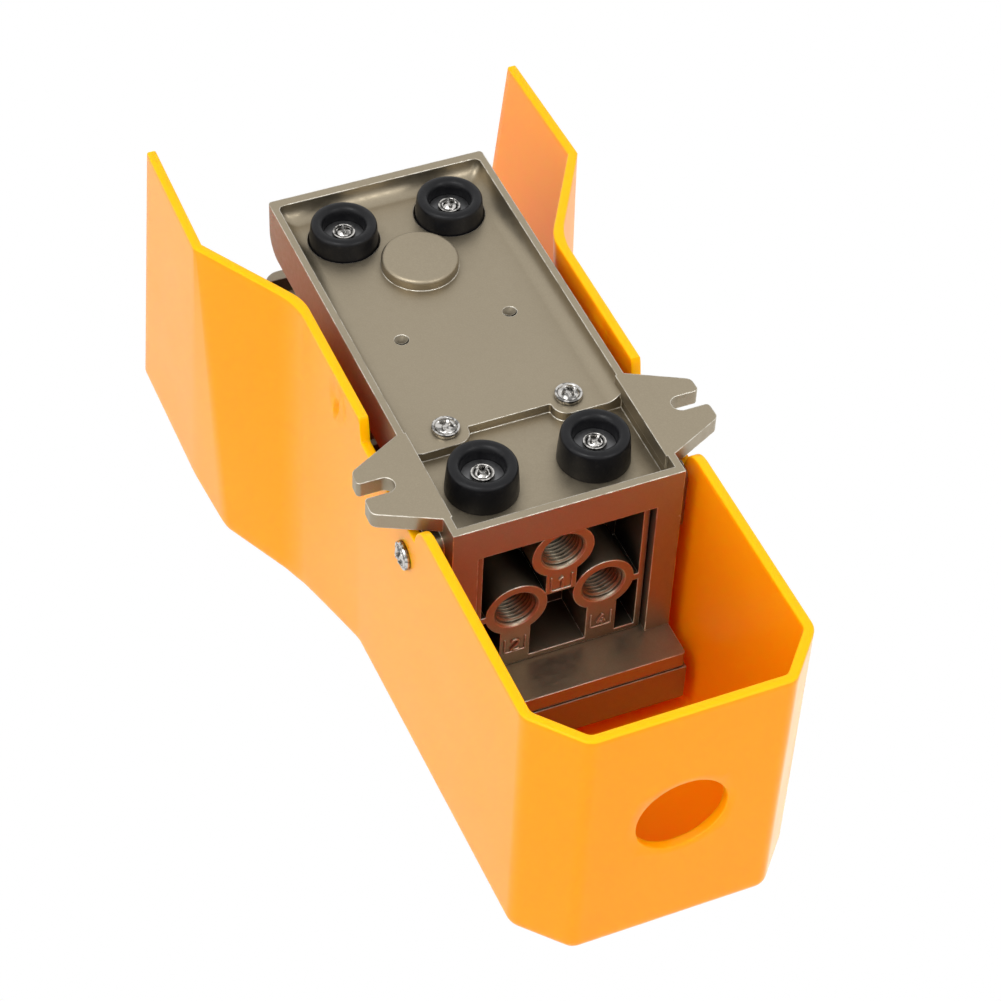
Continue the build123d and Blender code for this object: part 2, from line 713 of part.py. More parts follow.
def make_valve_block():
    face = Plane((0, block_rear_y, 0), x_dir=(1, 0, 0), z_dir=(0, -1, 0)) * block_web()
    web = extrude(face, amount=block_pocket_depth, dir=(0, -1, 0))
    core = block(-block_half_width, block_half_width, block_front_y,
                 block_rear_y - block_pocket_depth, seat_z, block_top_z)
    body = core + web
    inner_y = block_rear_y - port_depth
    for x, z in port_places():
        body -= rod_y(x, inner_y, block_rear_y + 1, z, port_diameter)
        mouth = Cone(port_diameter / 2, port_mouth_diameter / 2, port_chamfer)
        body -= Pos(x, block_rear_y - port_chamfer / 2, z) * Rot(-90, 0, 0) * mouth
        body -= port_passage(x, z, inner_y)
    body -= rod_z(0, spool_y, seat_z - 1, block_top_z + 1, spool_bore)
    for side in (-1, 1):
        z = spool_z + spool_length / 2 + side * exhaust_offset
        body -= rod_y(0, block_front_y - 1, spool_y, z, exhaust_diameter)
    for x, y in block_screw_places() + foot_places()[:2]:
        body -= rod_z(x, y, seat_z - 1, seat_z + block_screw_hole, screw_diameter + 2 * tap_clearance)
    return body


def port_passage(x, z, inner_y):
    """The drilling from a port's bottom to the spool's bore, slanted for the two side ports."""
    run = inner_y + 1 - spool_y
    length = sqrt(run * run + x * x)
    passage = Cylinder(port_inner_diameter / 2, length)
    turn = degrees(atan2(x, run))
    return Pos(x / 2, spool_y + run / 2, z) * Rot(0, 0, -turn) * Rot(90, 0, 0) * passage


def land_levels():
    gap = (spool_length - spool_land_length) / (spool_land_count - 1)
    return [spool_z + i * gap for i in range(spool_land_count)]


def make_spool():
    """The spool with its lands and grooves, its spring bore below and its rod above."""
    land = spool_bore - 2 * running_clearance
    spool = rod_z(0, spool_y, spool_z, spool_z + spool_length, spool_neck_diameter)
    for z in land_levels():
        spool += rod_z(0, spool_y, z, z + spool_land_length, land)
        low = z + (spool_land_length - seal_width) / 2
        spool -= ring_z(0, spool_y, low, low + seal_width, land + 2, land - 2 * seal_groove_depth)
    spool += rod_z(0, spool_y, spool_z + spool_length, cap_base_z() + cap_socket_depth, rod_diameter)
    return spool - rod_z(0, spool_y, spool_z - 1, spool_z + spring_bore_depth,
                         spring_bore_diameter)


def make_spool_seals():
    land = spool_bore - 2 * running_clearance
    outer = spool_bore - 2 * seal_gap
    seals = []
    for z in land_levels():
        low = z + (spool_land_length - seal_width) / 2
        seals.append(ring_z(0, spool_y, low, low + seal_width, outer, land - 2 * seal_groove_depth))
    return Compound(children=seals)


def make_spool_spring():
    return coil(0, spool_y, seat_z + plug_height + seat_touch,
                spool_z + spring_bore_depth - seat_touch, spring_bore_diameter - 2 * spool_spring_clearance,
                spool_spring_wire, spool_spring_coils)


def make_bore_plug():
    outer = spool_bore - 2 * running_clearance
    plug = rod_z(0, spool_y, seat_z, seat_z + plug_height, outer)
    low = seat_z + (plug_height - plug_groove_width) / 2
    return plug - ring_z(0, spool_y, low, low + plug_groove_width, outer + 2,
                         outer - 2 * plug_groove_depth)


def make_plug_seal():
    outer = spool_bore - 2 * running_clearance
    low = seat_z + (plug_height - plug_groove_width) / 2
    return ring_z(0, spool_y, low, low + plug_groove_width, spool_bore - 2 * seal_gap,
                  outer - 2 * plug_groove_depth)


def make_guide_bush():
    low = block_top_z - bush_height
    bush = ring_z(0, spool_y, low, block_top_z, spool_bore - 2 * seal_gap,
                  rod_diameter + 2 * running_clearance)
    return bush - rod_z(0, spool_y, block_top_z - bush_seal_height, block_top_z + 1,
                        bush_seal_diameter)


def make_rod_seal():
    return ring_z(0, spool_y, block_top_z - bush_seal_height, block_top_z,
                  bush_seal_diameter - 2 * seal_gap, rod_diameter + 2 * running_clearance)


def cap_base_z():
    return pad_z - push_gap - cap_height


def make_push_cap():
    """The domed cap on the rod that the pedal's pad presses."""
    top = pad_z - push_gap
    dome = Pos(0, spool_y, top - cap_dome_radius) * Sphere(cap_dome_radius)
    cap = rod_z(0, spool_y, cap_base_z(), top + 1, cap_diameter) & dome
    return cap - rod_z(0, spool_y, cap_base_z() - 1, cap_base_z() + cap_socket_depth, rod_diameter)


def pedal_top_z(y):
    """Height of the pedal's upper face at a place along Y: nearly level behind the bend."""
    bend_z = bracket_top_z + pedal_bend_top
    if y <= bend_y:
        return bend_z - pedal_slope * (bend_y - y)
    heel_y = face_y + pedal_heel_behind
    rise = (pedal_heel_top - pedal_bend_top) / (heel_y - bend_y)
    return bend_z + rise * (y - bend_y)


def pedal_side_points(drop):
    """Upper outline of the pedal, lowered by drop, from heel to front edge."""
    heel_y = face_y + pedal_heel_behind
    return [(heel_y, pedal_top_z(heel_y) - drop), (bend_y, pedal_top_z(bend_y) - drop),
            (pedal_front_y, pedal_top_z(pedal_front_y) - drop)]


def make_pedal():
    """The long tread: bent plate, skirts on its three free sides, heel wall, ribs and seats."""
    heel_y = face_y + pedal_heel_behind
    rest_z = bracket_top_z + pedal_rest_gap
    step_y = housing_front_y - pedal_step_clearance
    top = pedal_side_points(0)
    skirt_y = step_y - pedal_step_length
    neck_y = housing_front_y + pedal_neck_reach
    outline = top + [(pedal_front_y, pedal_top_z(pedal_front_y) - pedal_skirt_depth),
                     (skirt_y, pedal_top_z(skirt_y) - pedal_skirt_depth),
                     (step_y, pedal_top_z(step_y) - pedal_plate),
                     (neck_y, pedal_top_z(neck_y) - pedal_plate),
                     (hinge_y - pedal_rest_length, rest_z + pedal_rest_relief),
                     (hinge_y, rest_z), (heel_y, rest_z)]
    form = side_profile(outline, -pedal_half_width, pedal_half_width)
    form = fillet(tread_edges(form), pedal_edge_radius)
    hollow_top = pedal_side_points(pedal_plate)
    inner_heel, inner_front = heel_y - pedal_skirt, pedal_front_y + pedal_skirt
    hollow = [(inner_heel, hollow_top[0][1]), hollow_top[1],
              (inner_front, pedal_top_z(inner_front) - pedal_plate),
              (inner_front, rim_z), (inner_heel, rim_z)]
    x = pedal_half_width - pedal_skirt
    form -= side_profile(hollow, -x, x)
    form += pedal_underside()
    form += tread_ribs()
    form -= pedal_front_corners()
    for side in (-1, 1):
        x1 = side * pedal_half_width
        x0 = side * (pedal_half_width - hinge_boss_thickness)
        boss = rod_x(min(x0, x1), max(x0, x1), hinge_y, hinge_z, hinge_boss_diameter)
        lid = block(-pedal_half_width, pedal_half_width, hinge_y - hinge_boss_reach,
                    hinge_y + hinge_boss_reach, rest_z, pedal_top_z(hinge_y) - 1)
        form += boss & lid
    form -= rod_x(-pedal_half_width - 1, pedal_half_width + 1, hinge_y, hinge_z, bush_outer())
    return form


def tread_edges(form):
    """The edges along the tread's sides and across the top of its heel."""
    heel_y = face_y + pedal_heel_behind
    edges = []
    for edge in form.edges():
        middle = edge @ 0.5
        on_top = abs(middle.Z - pedal_top_z(middle.Y)) < 0.05
        if on_top and (abs(middle.X) > pedal_half_width - 0.1 or middle.Y > heel_y - 0.1):
            edges.append(edge)
    return edges


def pedal_front_corners():
    """What the pedal's two front corners lose to their rounding, in plan."""
    cut = []
    radius = pedal_corner_radius
    for side in (-1, 1):
        x = side * (pedal_half_width - radius)
        y = pedal_front_y + radius
        x_out = side * (pedal_half_width + 1)
        square = block(min(x, x_out), max(x, x_out), pedal_front_y - 1, y, rim_z, bracket_top_z)
        cut.append(square - rod_z(x, y, rim_z - 1, bracket_top_z + 1, 2 * radius))
    return cut[0] + cut[1]


def pedal_underside():
    """Stiffening ribs, the push pad, the spring's cup and the stop's foot under the plate."""
    back_y, front_y = bend_y - stiffener_end, pedal_front_y + stiffener_end
    depth = pedal_plate + stiffener_depth
    spine = [(back_y, pedal_top_z(back_y) - 1), (front_y, pedal_top_z(front_y) - 1),
             (front_y, pedal_top_z(front_y) - depth), (back_y, pedal_top_z(back_y) - depth)]
    x = spring_cup_diameter / 2 + stiffener_margin
    half = stiffener_thickness / 2
    added = side_profile(spine, -x - half, -x + half) + side_profile(spine, x - half, x + half)
    for i in range(stiffener_count):
        y = bend_y - (i + 1) * (bend_y - pedal_front_y) / (stiffener_count + 1)
        top = pedal_top_z(y)
        added += block(-pedal_half_width + 1, pedal_half_width - 1, y - half, y + half,
                       top - depth, top - 1)
    pad_top = pedal_top_z(spool_y) - 1
    added += rod_z(0, spool_y, pad_z, pad_top, push_pad_diameter)
    seat = spring_seat_z()
    cup = rod_z(0, cup_y(), seat - spring_cup_depth, pedal_top_z(cup_y()),
                spring_cup_diameter + 2 * spring_cup_wall)
    added += cup
    bumper_y = face_y - bumper_back
    added += rod_z(0, bumper_y, stop_foot_z(), pedal_top_z(bumper_y) - 1,
                   bumper_diameter + 2 * stop_foot_margin)
    added -= rod_z(0, cup_y(), seat - spring_cup_depth - 9, seat, spring_cup_diameter)
    limit = pedal_side_points(1.0)
    cover = side_profile(limit + [(pedal_front_y, rim_z), (face_y + pedal_heel_behind, rim_z)],
                         -pedal_half_width, pedal_half_width)
    return added & cover


def swing_drop(y, z):
    """How far a point of the pedal comes down at the end of its swing."""
    angle = radians(pedal_swing)
    back, up = y - hinge_y, z - hinge_z
    return -(back * sin(angle) + up * cos(angle) - up)


def spring_seat_z():
    return pedal_top_z(boss_y) - pedal_plate - spring_seat_below


def cup_y():
    """The cup sits ahead of the spring by half of the seat's travel along Y."""
    angle = radians(pedal_swing)
    back, up = boss_y - hinge_y, spring_seat_z() - hinge_z
    travel = back * cos(angle) - up * sin(angle) - back
    return boss_y - travel / 2


def stop_foot_z():
    y = face_y - bumper_back
    return pedal_top_z(y) - pedal_plate - stiffener_depth - stop_foot_reach


def tread_ribs():
    """Raised grip bars across the front part of the tread."""
    bars = None
    angle = degrees(atan2(pedal_slope, 1))
    half = pedal_half_width - tread_rib_inset
    for i in range(tread_rib_count):
        y = pedal_front_y + tread_rib_start + i * tread_rib_pitch
        bar = Box(2 * half, tread_rib_width, 2 * tread_rib_height)
        bar = Pos(0, y, pedal_top_z(y)) * Rot(angle, 0, 0) * bar
        bars = bar if bars is None else bars + bar
    return bars


def bush_outer():
    return pin_diameter + 2 * bush_wall


def make_pedal_bush(side):
    """A flanged bush in the pedal's side, turning on the pin."""
    inner = pin_diameter + 2 * running_clearance
    x1 = pedal_half_width
    x0 = x1 - hinge_boss_thickness
    bush = rod_x(x0, x1 + bush_flange, hinge_y, hinge_z, bush_outer())
    bush += rod_x(x1, x1 + bush_flange, hinge_y, hinge_z, bush_flange_diameter)
    bush -= rod_x(x0 - 1, x1 + 2, hinge_y, hinge_z, inner)
    return bush if side > 0 else mirrored(bush)


def clip_x():
    return pedal_half_width + bush_flange + clip_gap


def make_pin():
    pin_half_length = clip_x() + clip_thickness + pin_end_length
    pin = rod_x(-pin_half_length, pin_half_length, hinge_y, hinge_z, pin_diameter)
    for side in (-1, 1):
        groove = rod_x(clip_x(), clip_x() + clip_thickness, hinge_y, hinge_z, pin_diameter + 2)
        groove -= rod_x(clip_x() - 1, clip_x() + clip_thickness + 1, hinge_y, hinge_z,
                        pin_diameter - 2 * clip_groove_depth)
        pin -= groove if side > 0 else mirrored(groove)
    rings = pin.edges().filter_by(GeomType.CIRCLE).sort_by(Axis.X)
    return chamfer([rings[0], rings[-1]], pin_chamfer)


def make_pin_clips():
    """Open retaining rings in the pin's two grooves."""
    x0, x1 = clip_x(), clip_x() + clip_thickness
    clip = rod_x(x0, x1, hinge_y, hinge_z, clip_diameter)
    clip -= rod_x(x0 - 1, x1 + 1, hinge_y, hinge_z, pin_diameter - 2 * clip_groove_depth)
    clip -= block(x0 - 1, x1 + 1, hinge_y - clip_mouth / 2, hinge_y + clip_mouth / 2,
                  hinge_z, hinge_z + clip_diameter)
    return Compound(children=[clip, mirrored(clip)])


def make_pedal_spring():
    return coil(0, boss_y, spring_foot_z() + seat_touch, spring_seat_z() - spring_gap,
                pedal_spring_diameter, pedal_spring_wire, pedal_spring_coils)


def make_bumper():
    """The rubber stop under the pedal's front, plugged into the base by its neck."""
    y = face_y - bumper_back
    top = stop_foot_z() - swing_drop(y - bumper_diameter / 2, stop_foot_z()) - bumper_gap
    pad = rod_z(0, y, bumper_seat_z(), top, bumper_diameter)
    pad = fillet(pad.edges().sort_by(Axis.Z)[-1], bumper_edge_radius)
    return pad + rod_z(0, y, bumper_neck_z(), bumper_seat_z(), bumper_neck_diameter)


def make_foot(x, y):
    """A rubber foot: tapered ring with a deep recess for its screw."""
    outer, inner = foot_diameter / 2, foot_recess_diameter / 2
    outline = [(0, foot_height), (foot_top_diameter / 2, foot_height), (outer, foot_edge),
               (outer - foot_edge, 0), (inner + foot_recess_edge, 0), (inner, foot_recess_edge),
               (inner, foot_height - foot_floor), (0, foot_height - foot_floor)]
    section = make_face(Polyline(*[(r, 0, z) for r, z in outline], close=True))
    foot = revolve(section, axis=Axis.Z)
    foot -= rod_z(0, 0, 1, foot_height + 1, screw_diameter + 2 * tap_clearance)
    return Pos(x, y, 0) * foot


def washer_z():
    return foot_height - foot_floor - washer_thickness


def make_foot_washers():
    hole = screw_diameter + 2 * pass_clearance
    return Compound(children=[ring_z(x, y, washer_z(), washer_z() + washer_thickness,
                                     washer_diameter, hole) for x, y in foot_places()])


def make_foot_screws():
    length = seat_z + foot_screw_grip - washer_z()
    return Compound(children=[pan_screw((x, y, washer_z()), (0, 0, -1), foot_head_diameter,
                                        pan_head_height, length, screw_diameter)
                              for x, y in foot_places()])


def make_block_screws():
    return Compound(children=[pan_screw((x, y, floor_z), (0, 0, -1), pan_head_diameter,
                                        pan_head_height, block_screw_length, screw_diameter)
                              for x, y in block_screw_places()])


def make_guard_screws():
    screws = []
    for side in (-1, 1):
        point = (side * guard_x, face_y - guard_screw_back, rim_z + guard_screw_height)
        screws.append(pan_screw(point, (side, 0, 0), guard_screw_head, guard_screw_head_height,
                                guard_screw_length, guard_screw_diameter))
    return Compound(children=screws)


def all_parts():
    parts = {
        "base_housing": make_base(),
        "hinge_bracket": make_bracket(),
        "bracket_screws": make_bracket_screws(),
        "valve_block": make_valve_block(),
        "valve_block_screws": make_block_screws(),
        "spool": make_spool(),
        "spool_seals": make_spool_seals(),
        "spool_spring": make_spool_spring(),
        "bore_plug": make_bore_plug(),
        "plug_seal": make_plug_seal(),
        "guide_bush": make_guide_bush(),
        "rod_seal": make_rod_seal(),
        "push_cap": make_push_cap(),
        "pedal": make_pedal(),
        "pedal_bush_left": make_pedal_bush(-1),
        "pedal_bush_right": make_pedal_bush(1),
        "pedal_pin": make_pin(),
        "pin_clips": make_pin_clips(),
        "pedal_spring": make_pedal_spring(),
        "stop_bumper": make_bumper(),
        "guard": make_guard(),
        "guard_screws": make_guard_screws(),
        "foot_screws": make_foot_screws(),
        "foot_washers": make_foot_washers(),
    }
    names = ("rear_left", "rear_right", "front_left", "front_right")
    for name, (x, y) in zip(names, foot_places()):
        parts["rubber_foot_" + name] = make_foot(x, y)
    return parts


os.makedirs("parts", exist_ok=True)
for node, shape in all_parts().items():
    export_step(shape, "parts/" + node + ".step")
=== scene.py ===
from math import pi, radians

import bmesh
import bpy
import numpy as np
from mathutils import Matrix, Vector


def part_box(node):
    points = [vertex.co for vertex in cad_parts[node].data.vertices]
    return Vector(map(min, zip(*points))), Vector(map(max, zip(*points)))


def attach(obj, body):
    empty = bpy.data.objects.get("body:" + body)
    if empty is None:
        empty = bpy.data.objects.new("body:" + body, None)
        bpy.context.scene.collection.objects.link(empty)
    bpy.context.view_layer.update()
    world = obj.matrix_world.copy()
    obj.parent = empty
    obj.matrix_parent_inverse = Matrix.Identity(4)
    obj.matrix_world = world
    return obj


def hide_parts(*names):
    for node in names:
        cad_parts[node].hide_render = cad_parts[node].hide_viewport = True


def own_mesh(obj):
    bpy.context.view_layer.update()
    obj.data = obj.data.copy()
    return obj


bl_info = {
    "name": "Pneumatic foot valve",
    "version": (1, 0, 0),
    "blender": (4, 5, 0),
    "location": "View3D > Sidebar > Foot valve",
    "description": "Visible surfaces, finishes and studio of a guarded pneumatic foot valve",
    "category": "Object",
}

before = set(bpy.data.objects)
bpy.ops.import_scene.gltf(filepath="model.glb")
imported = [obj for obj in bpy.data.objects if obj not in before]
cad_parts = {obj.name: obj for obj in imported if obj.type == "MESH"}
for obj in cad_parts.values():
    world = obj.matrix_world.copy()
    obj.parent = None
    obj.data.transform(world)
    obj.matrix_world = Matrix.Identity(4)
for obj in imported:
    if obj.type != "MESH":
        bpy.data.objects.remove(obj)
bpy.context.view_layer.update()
MM = 0.001


# Surfaces

def grid_quads(rows, columns, start=0):
    """Quads between neighbouring rows and columns of a grid of points, row by row."""
    corner = np.arange(rows * columns).reshape(rows, columns) + start
    quads = [corner[:-1, :-1], corner[1:, :-1], corner[1:, 1:], corner[:-1, 1:]]
    return np.stack(quads, axis=-1).reshape(-1, 4)


def mesh_from(name, points, quads, sharp=40.0, merge=1e-6, finish_index=None):
    """One closed mesh from arrays in millimetres: doubles merged, faces turned outwards."""
    mesh = bpy.data.meshes.new(name)
    mesh.from_pydata((np.asarray(points) * MM).tolist(), [], np.asarray(quads).tolist())
    if finish_index is not None:
        mesh.polygons.foreach_set("material_index", finish_index)
    work = bmesh.new()
    work.from_mesh(mesh)
    bmesh.ops.remove_doubles(work, verts=work.verts, dist=merge)
    bmesh.ops.dissolve_degenerate(work, edges=work.edges, dist=merge / 2)
    bmesh.ops.recalc_face_normals(work, faces=work.faces)
    work.to_mesh(mesh)
    work.free()
    mesh.shade_smooth()
    mesh.set_sharp_from_angle(angle=radians(sharp))
    return mesh


def place_piece(name, mesh, body, finishes, stands_for=()):
    """The mesh as a piece that rides on a body, wears the finishes and stands for CAD nodes."""
    piece = bpy.data.objects.new(name, mesh)
    bpy.context.scene.collection.objects.link(piece)
    for finish in finishes:
        mesh.materials.append(finish)
    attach(piece, body)
    if stands_for:
        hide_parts(*stands_for)
    return piece


def joined(parts):
    """Several (points, quads) surfaces as one pair of arrays."""
    offsets = np.cumsum([0] + [len(p) for p, q in parts[:-1]])
    points = np.concatenate([p for p, q in parts])
    return points, np.concatenate([q + o for (p, q), o in zip(parts, offsets)])


def turned(profile, steps=96):
    """A profile of (radius, height) pairs turned round the Z axis, closed on itself."""
    profile = np.asarray(profile, float)
    angle = np.linspace(0, 2 * pi, steps + 1)
    points = np.stack([profile[:, :1] * np.cos(angle), profile[:, :1] * np.sin(angle),
                       np.repeat(profile[:, 1:], steps + 1, axis=1)], axis=-1)
    return points.reshape(-1, 3), grid_quads(len(profile), steps + 1)


def unit(vectors):
    """The vectors at length one."""
    return vectors / np.maximum(np.linalg.norm(vectors, axis=-1, keepdims=True), 1e-9)


def rounded_path(corners, radii, steps=6):
    """A polyline with bent corners: each bend is a quadratic blend round its corner."""
    corners = np.asarray(corners, float)
    radii = np.asarray(radii, float)[:, None]
    start = corners + unit(np.roll(corners, 1, axis=0) - corners) * radii
    end = corners + unit(np.roll(corners, -1, axis=0) - corners) * radii
    t = np.linspace(0, 1, steps)[None, :, None]
    bends = ((1 - t) ** 2 * start[:, None] + 2 * t * (1 - t) * corners[:, None]
             + t ** 2 * end[:, None])
    path = bends.reshape(-1, corners.shape[1])
    return np.concatenate([corners[:1], path[steps:-steps], corners[-1:]])


def moved_to(points, origin, direction, turn):
    """Points whose own +Z is turned to a direction and whose origin goes to a place."""
    matrix = Vector(direction).to_track_quat("Z", "Y").to_matrix() @ Matrix.Rotation(turn, 3, "Z")
    return points @ np.array(matrix).T + np.asarray(origin, float)


# Guard: outlines in millimetres, one side, from the entrance to the middle of the closed end

GUARD_RIM = [(63.5, -124.3), (64.5, -76.3), (63.9, -75.3), (43.7, -41.8), (43.7, 10.2),
             (43.7, 130.5), (30.5, 145.5), (24.0, 145.5), (0.0, 145.5)]
GUARD_ROOF = [(63.5, -145.5), (63.7, -91.8), (62.0, -64.8), (48.0, -35.8), (43.7, 10.2),
              (43.7, 130.5), (30.5, 145.5), (24.0, 145.5), (0.0, 145.5)]
GUARD_ROUNDING = [0.0, 2.5, 2.5, 7.0, 2.0, 2.6, 2.6, 0.0, 0.0]
ROOF_SIDE = [(-200.0, 119.2), (-35.8, 119.2), (10.2, 102.7), (145.5, 96.7), (200.0, 94.28)]
ROOF_ROUNDING = 2.5
RIM = 1.2
GUARD_HEIGHT = 118.0
WALL = 3.0
OUTER_EDGE_RADIUS = 5.0
INNER_EDGE_RADIUS = 3.0
INNER_ROUNDING_SHARE = 0.6
STRIP_ROUNDING = 0.5
HOLE_ROUNDING = 0.3
CREASES = slice(1, 7)
NOTCH_OFFSET = 24.0
SNAP_OFFSET = 32.0
NOTCH_START_RIGHT = 16.1
NOTCH_START_LEFT = 10.3
NOTCH_END = 62.5
NOTCH_RISE = 8.6
NOTCH_FLANK = 2.2
NOTCH_ROUNDING = 8.0
NOTCH_FADE = 20.0
NECK_X = 40.0
SNAP_X = 38.0
SNAP_MIDDLE, SNAP_REACH, SNAP_DEPTH = (-6.5, 10.5), (7.0, 8.0), 0.9
PIP_MIDDLE, PIP_REACH, PIP_DEPTH = (-8.6, 15.0), (1.5, 3.0), 1.3
HOLE_BLEND = 24.0
END_FACE_Y = 141.0
ROOF_MIDDLE_Y = 112.0
HOLE_COLUMN = 16


def moved_in(outline, inset):
    """An outline moved inwards by the wall, corner by corner along the bisector."""
    points = np.asarray(outline, float)
    ahead = np.diff(points, axis=0)
    normal = np.stack([ahead[:, 1], -ahead[:, 0]], axis=1)
    normal /= np.linalg.norm(normal, axis=1, keepdims=True)
    first = np.concatenate([normal[:1], normal])
    last = np.concatenate([normal, normal[-1:]])
    both = first + last
    return points - both * inset / (1 + np.sum(first * last, axis=1, keepdims=True))


def averaged(marks, values, places, reach):
    """A polyline's mean over a stretch around each place: its running integral's difference."""
    fine = np.unique(np.concatenate([np.linspace(marks[0], marks[-1], 4001), marks]))
    line = np.stack([np.interp(fine, marks, v) for v in np.asarray(values, float).T], axis=1)
    steps = np.diff(fine)[:, None] * (line[1:] + line[:-1]) / 2
    total = np.concatenate([np.zeros((1, line.shape[1])), np.cumsum(steps, axis=0)])
    reach = np.maximum(np.minimum(reach, np.minimum(places - marks[0], marks[-1] - places)), 1e-3)
    low = np.clip(places - reach, marks[0], marks[-1])
    high = np.clip(places + reach, marks[0], marks[-1])
    gained = [np.interp(high, fine, t) - np.interp(low, fine, t) for t in total.T]
    return np.stack(gained, axis=1) / (high - low)[:, None]


def guard_marks():
    """Path lengths of the outline's corners, midway between rim and roof."""
    middle = (np.asarray(GUARD_RIM) + np.asarray(GUARD_ROOF)) / 2
    return np.concatenate([[0], np.cumsum(np.linalg.norm(np.diff(middle, axis=0), axis=1))])


def guard_stations(marks, hole_radius):
    """Places along the outline: close together at the creases, notch and hose hole."""
    coarse = [np.linspace(a, b, max(2, int((b - a) / 3.2) + 1)) for a, b in zip(marks, marks[1:])]
    near = [m + np.linspace(-8, 8, 25) for m in marks[CREASES]]
    near.append(marks[4] + NOTCH_OFFSET + np.linspace(-26, 26, 130))
    near.append(marks[3] + SNAP_OFFSET + np.linspace(-9, 9, 28))
    end = marks[-1] - np.array([hole_radius])
    places = np.concatenate(coarse + near + [end, marks[-1] - np.linspace(0, hole_radius, 15)])
    places = np.sort(places[(places >= 0.5) & (places <= marks[-1])])
    keep = np.concatenate([[True], np.diff(places) > 0.12])
    keep |= np.isin(places, end)
    places = places[keep]
    clash = np.abs(places - end[0]) < 0.3
    return np.sort(np.concatenate([[0.5], places[~clash], end]))


def notch_rise(y, start):
    """How far the rim rises for the ear: a steep front flank, and a large rounding behind."""
    t = np.clip((y - start) / NOTCH_FLANK, 0, 1)
    behind = np.clip((NOTCH_END - y) / NOTCH_ROUNDING, 0, 1)
    flank = NOTCH_RISE * t * t * (3 - 2 * t)
    return np.minimum(flank, NOTCH_RISE * (1 - np.sqrt(1 - behind ** 2)))


def snap_hollow(y, z):
    """Depth of the shallow snap hollow and of the small pip in it."""
    oval, pip = (np.clip(1 - ((y - middle[0]) / reach[0]) ** 2 - ((z - middle[1]) / reach[1]) ** 2,
                         0, 1)
                 for middle, reach in ((SNAP_MIDDLE, SNAP_REACH), (PIP_MIDDLE, PIP_REACH)))
    return SNAP_DEPTH * oval ** 1.2 + PIP_DEPTH * pip ** 0.7


def roof_height(y, inset):
    """The roof's height along Y, less the wall for the inner skin."""
    side = np.asarray(ROOF_SIDE)
    reach = np.full(y.size, ROOF_ROUNDING)
    return averaged(side[:, 0], side[:, 1:], y.ravel(), reach).reshape(y.shape) - inset


def guard_skin(inset, edge_radius, stations, hole_radius, hole_height, notch_start):
    """One side of the guard's outer or inner skin as a grid: wall, rounded edge and roof.

    A wall point lies between the rim's and the roof's outline at its height. Over the wall the
    skin turns in on a quarter circle and runs level across to the middle plane, under the roof.
    """
    marks = guard_marks()
    nearest = np.argmin(np.abs(stations[:, None] - marks[None, CREASES]), axis=1)
    share = INNER_ROUNDING_SHARE if inset else 1.0
    reach = np.asarray(GUARD_ROUNDING)[CREASES][nearest] * share
    rim = averaged(marks, moved_in(GUARD_RIM, inset), stations, reach)
    roof = averaged(marks, moved_in(GUARD_ROOF, inset), stations, reach)
    low, high = hole_height - hole_radius, hole_height + hole_radius
    bottom = RIM + STRIP_ROUNDING
    levels = np.concatenate([np.linspace(bottom, low, HOLE_COLUMN + 1),
                             np.linspace(low, high, HOLE_COLUMN + 1)[1:]])
    shift = notch_rise(rim[:, 1], notch_start) * (rim[:, 0] > NECK_X)
    fade = np.clip(1 - (levels[None, :] - bottom) / NOTCH_FADE, 0, 1)
    lower = levels[None, :] + shift[:, None] * fade
    share = np.linspace(0, 1, 15)[1:]
    top = roof_height(roof[:, 1], inset) - edge_radius
    upper = levels[-1] + (top[:, None] - levels[-1]) * share[None, :]
    z = np.concatenate([lower, upper], axis=1)
    t = ((z - RIM) / GUARD_HEIGHT)[..., None]
    wall = rim[:, None, :] * (1 - t) + roof[:, None, :] * t
    along = np.gradient(wall, axis=0)
    inward = np.stack([-along[..., 1], along[..., 0]], axis=-1)
    inward /= np.maximum(np.linalg.norm(inward, axis=-1, keepdims=True), 1e-9)
    inward[-1] = (0, -1)
    hollow = snap_hollow(wall[..., 1], z) * (wall[..., 0] > SNAP_X)
    wall = wall + inward * hollow[..., None]
    turn = np.linspace(0, pi / 2, 8)[1:]
    edge = wall[:, -1:, :] + inward[:, -1:, :] * edge_radius * (1 - np.cos(turn))[None, :, None]
    edge_z = roof_height(edge[..., 1], inset) - edge_radius * (1 - np.sin(turn)[None, :])
    share = np.linspace(0, 1, 15)[None, 1:, None]
    middle = np.stack([np.zeros(len(stations)), np.minimum(edge[:, -1, 1], ROOF_MIDDLE_Y)], axis=1)
    over = edge[:, -1:, :] * (1 - share) + middle[:, None, :] * share
    flat = np.concatenate([wall, edge, over], axis=1)
    height = np.concatenate([z, edge_z, roof_height(over[..., 1], inset)], axis=1)
    skin = np.concatenate([flat, height[..., None]], axis=-1)
    skin[-1, :, 0] = 0.0
    return hole_warped(skin, hole_radius, hole_height)


def hole_warped(skin, hole_radius, hole_height):
    """Squares round the hose hole's middle become circles near it and stay squares further out."""
    x, z = skin[..., 0], skin[..., 2] - hole_height
    square = np.maximum(np.abs(x), np.abs(z))
    circle = np.maximum(np.hypot(x, z), 1e-9)
    share = np.clip((square - hole_radius) / (HOLE_BLEND - hole_radius), 0, 1)
    near = (skin[..., 1] > END_FACE_Y) & (square < HOLE_BLEND)
    scale = np.where(near, (square / circle) * (1 - share) + share, 1.0)
    skin[..., 0] = x * scale
    skin[..., 2] = hole_height + z * scale
    return skin


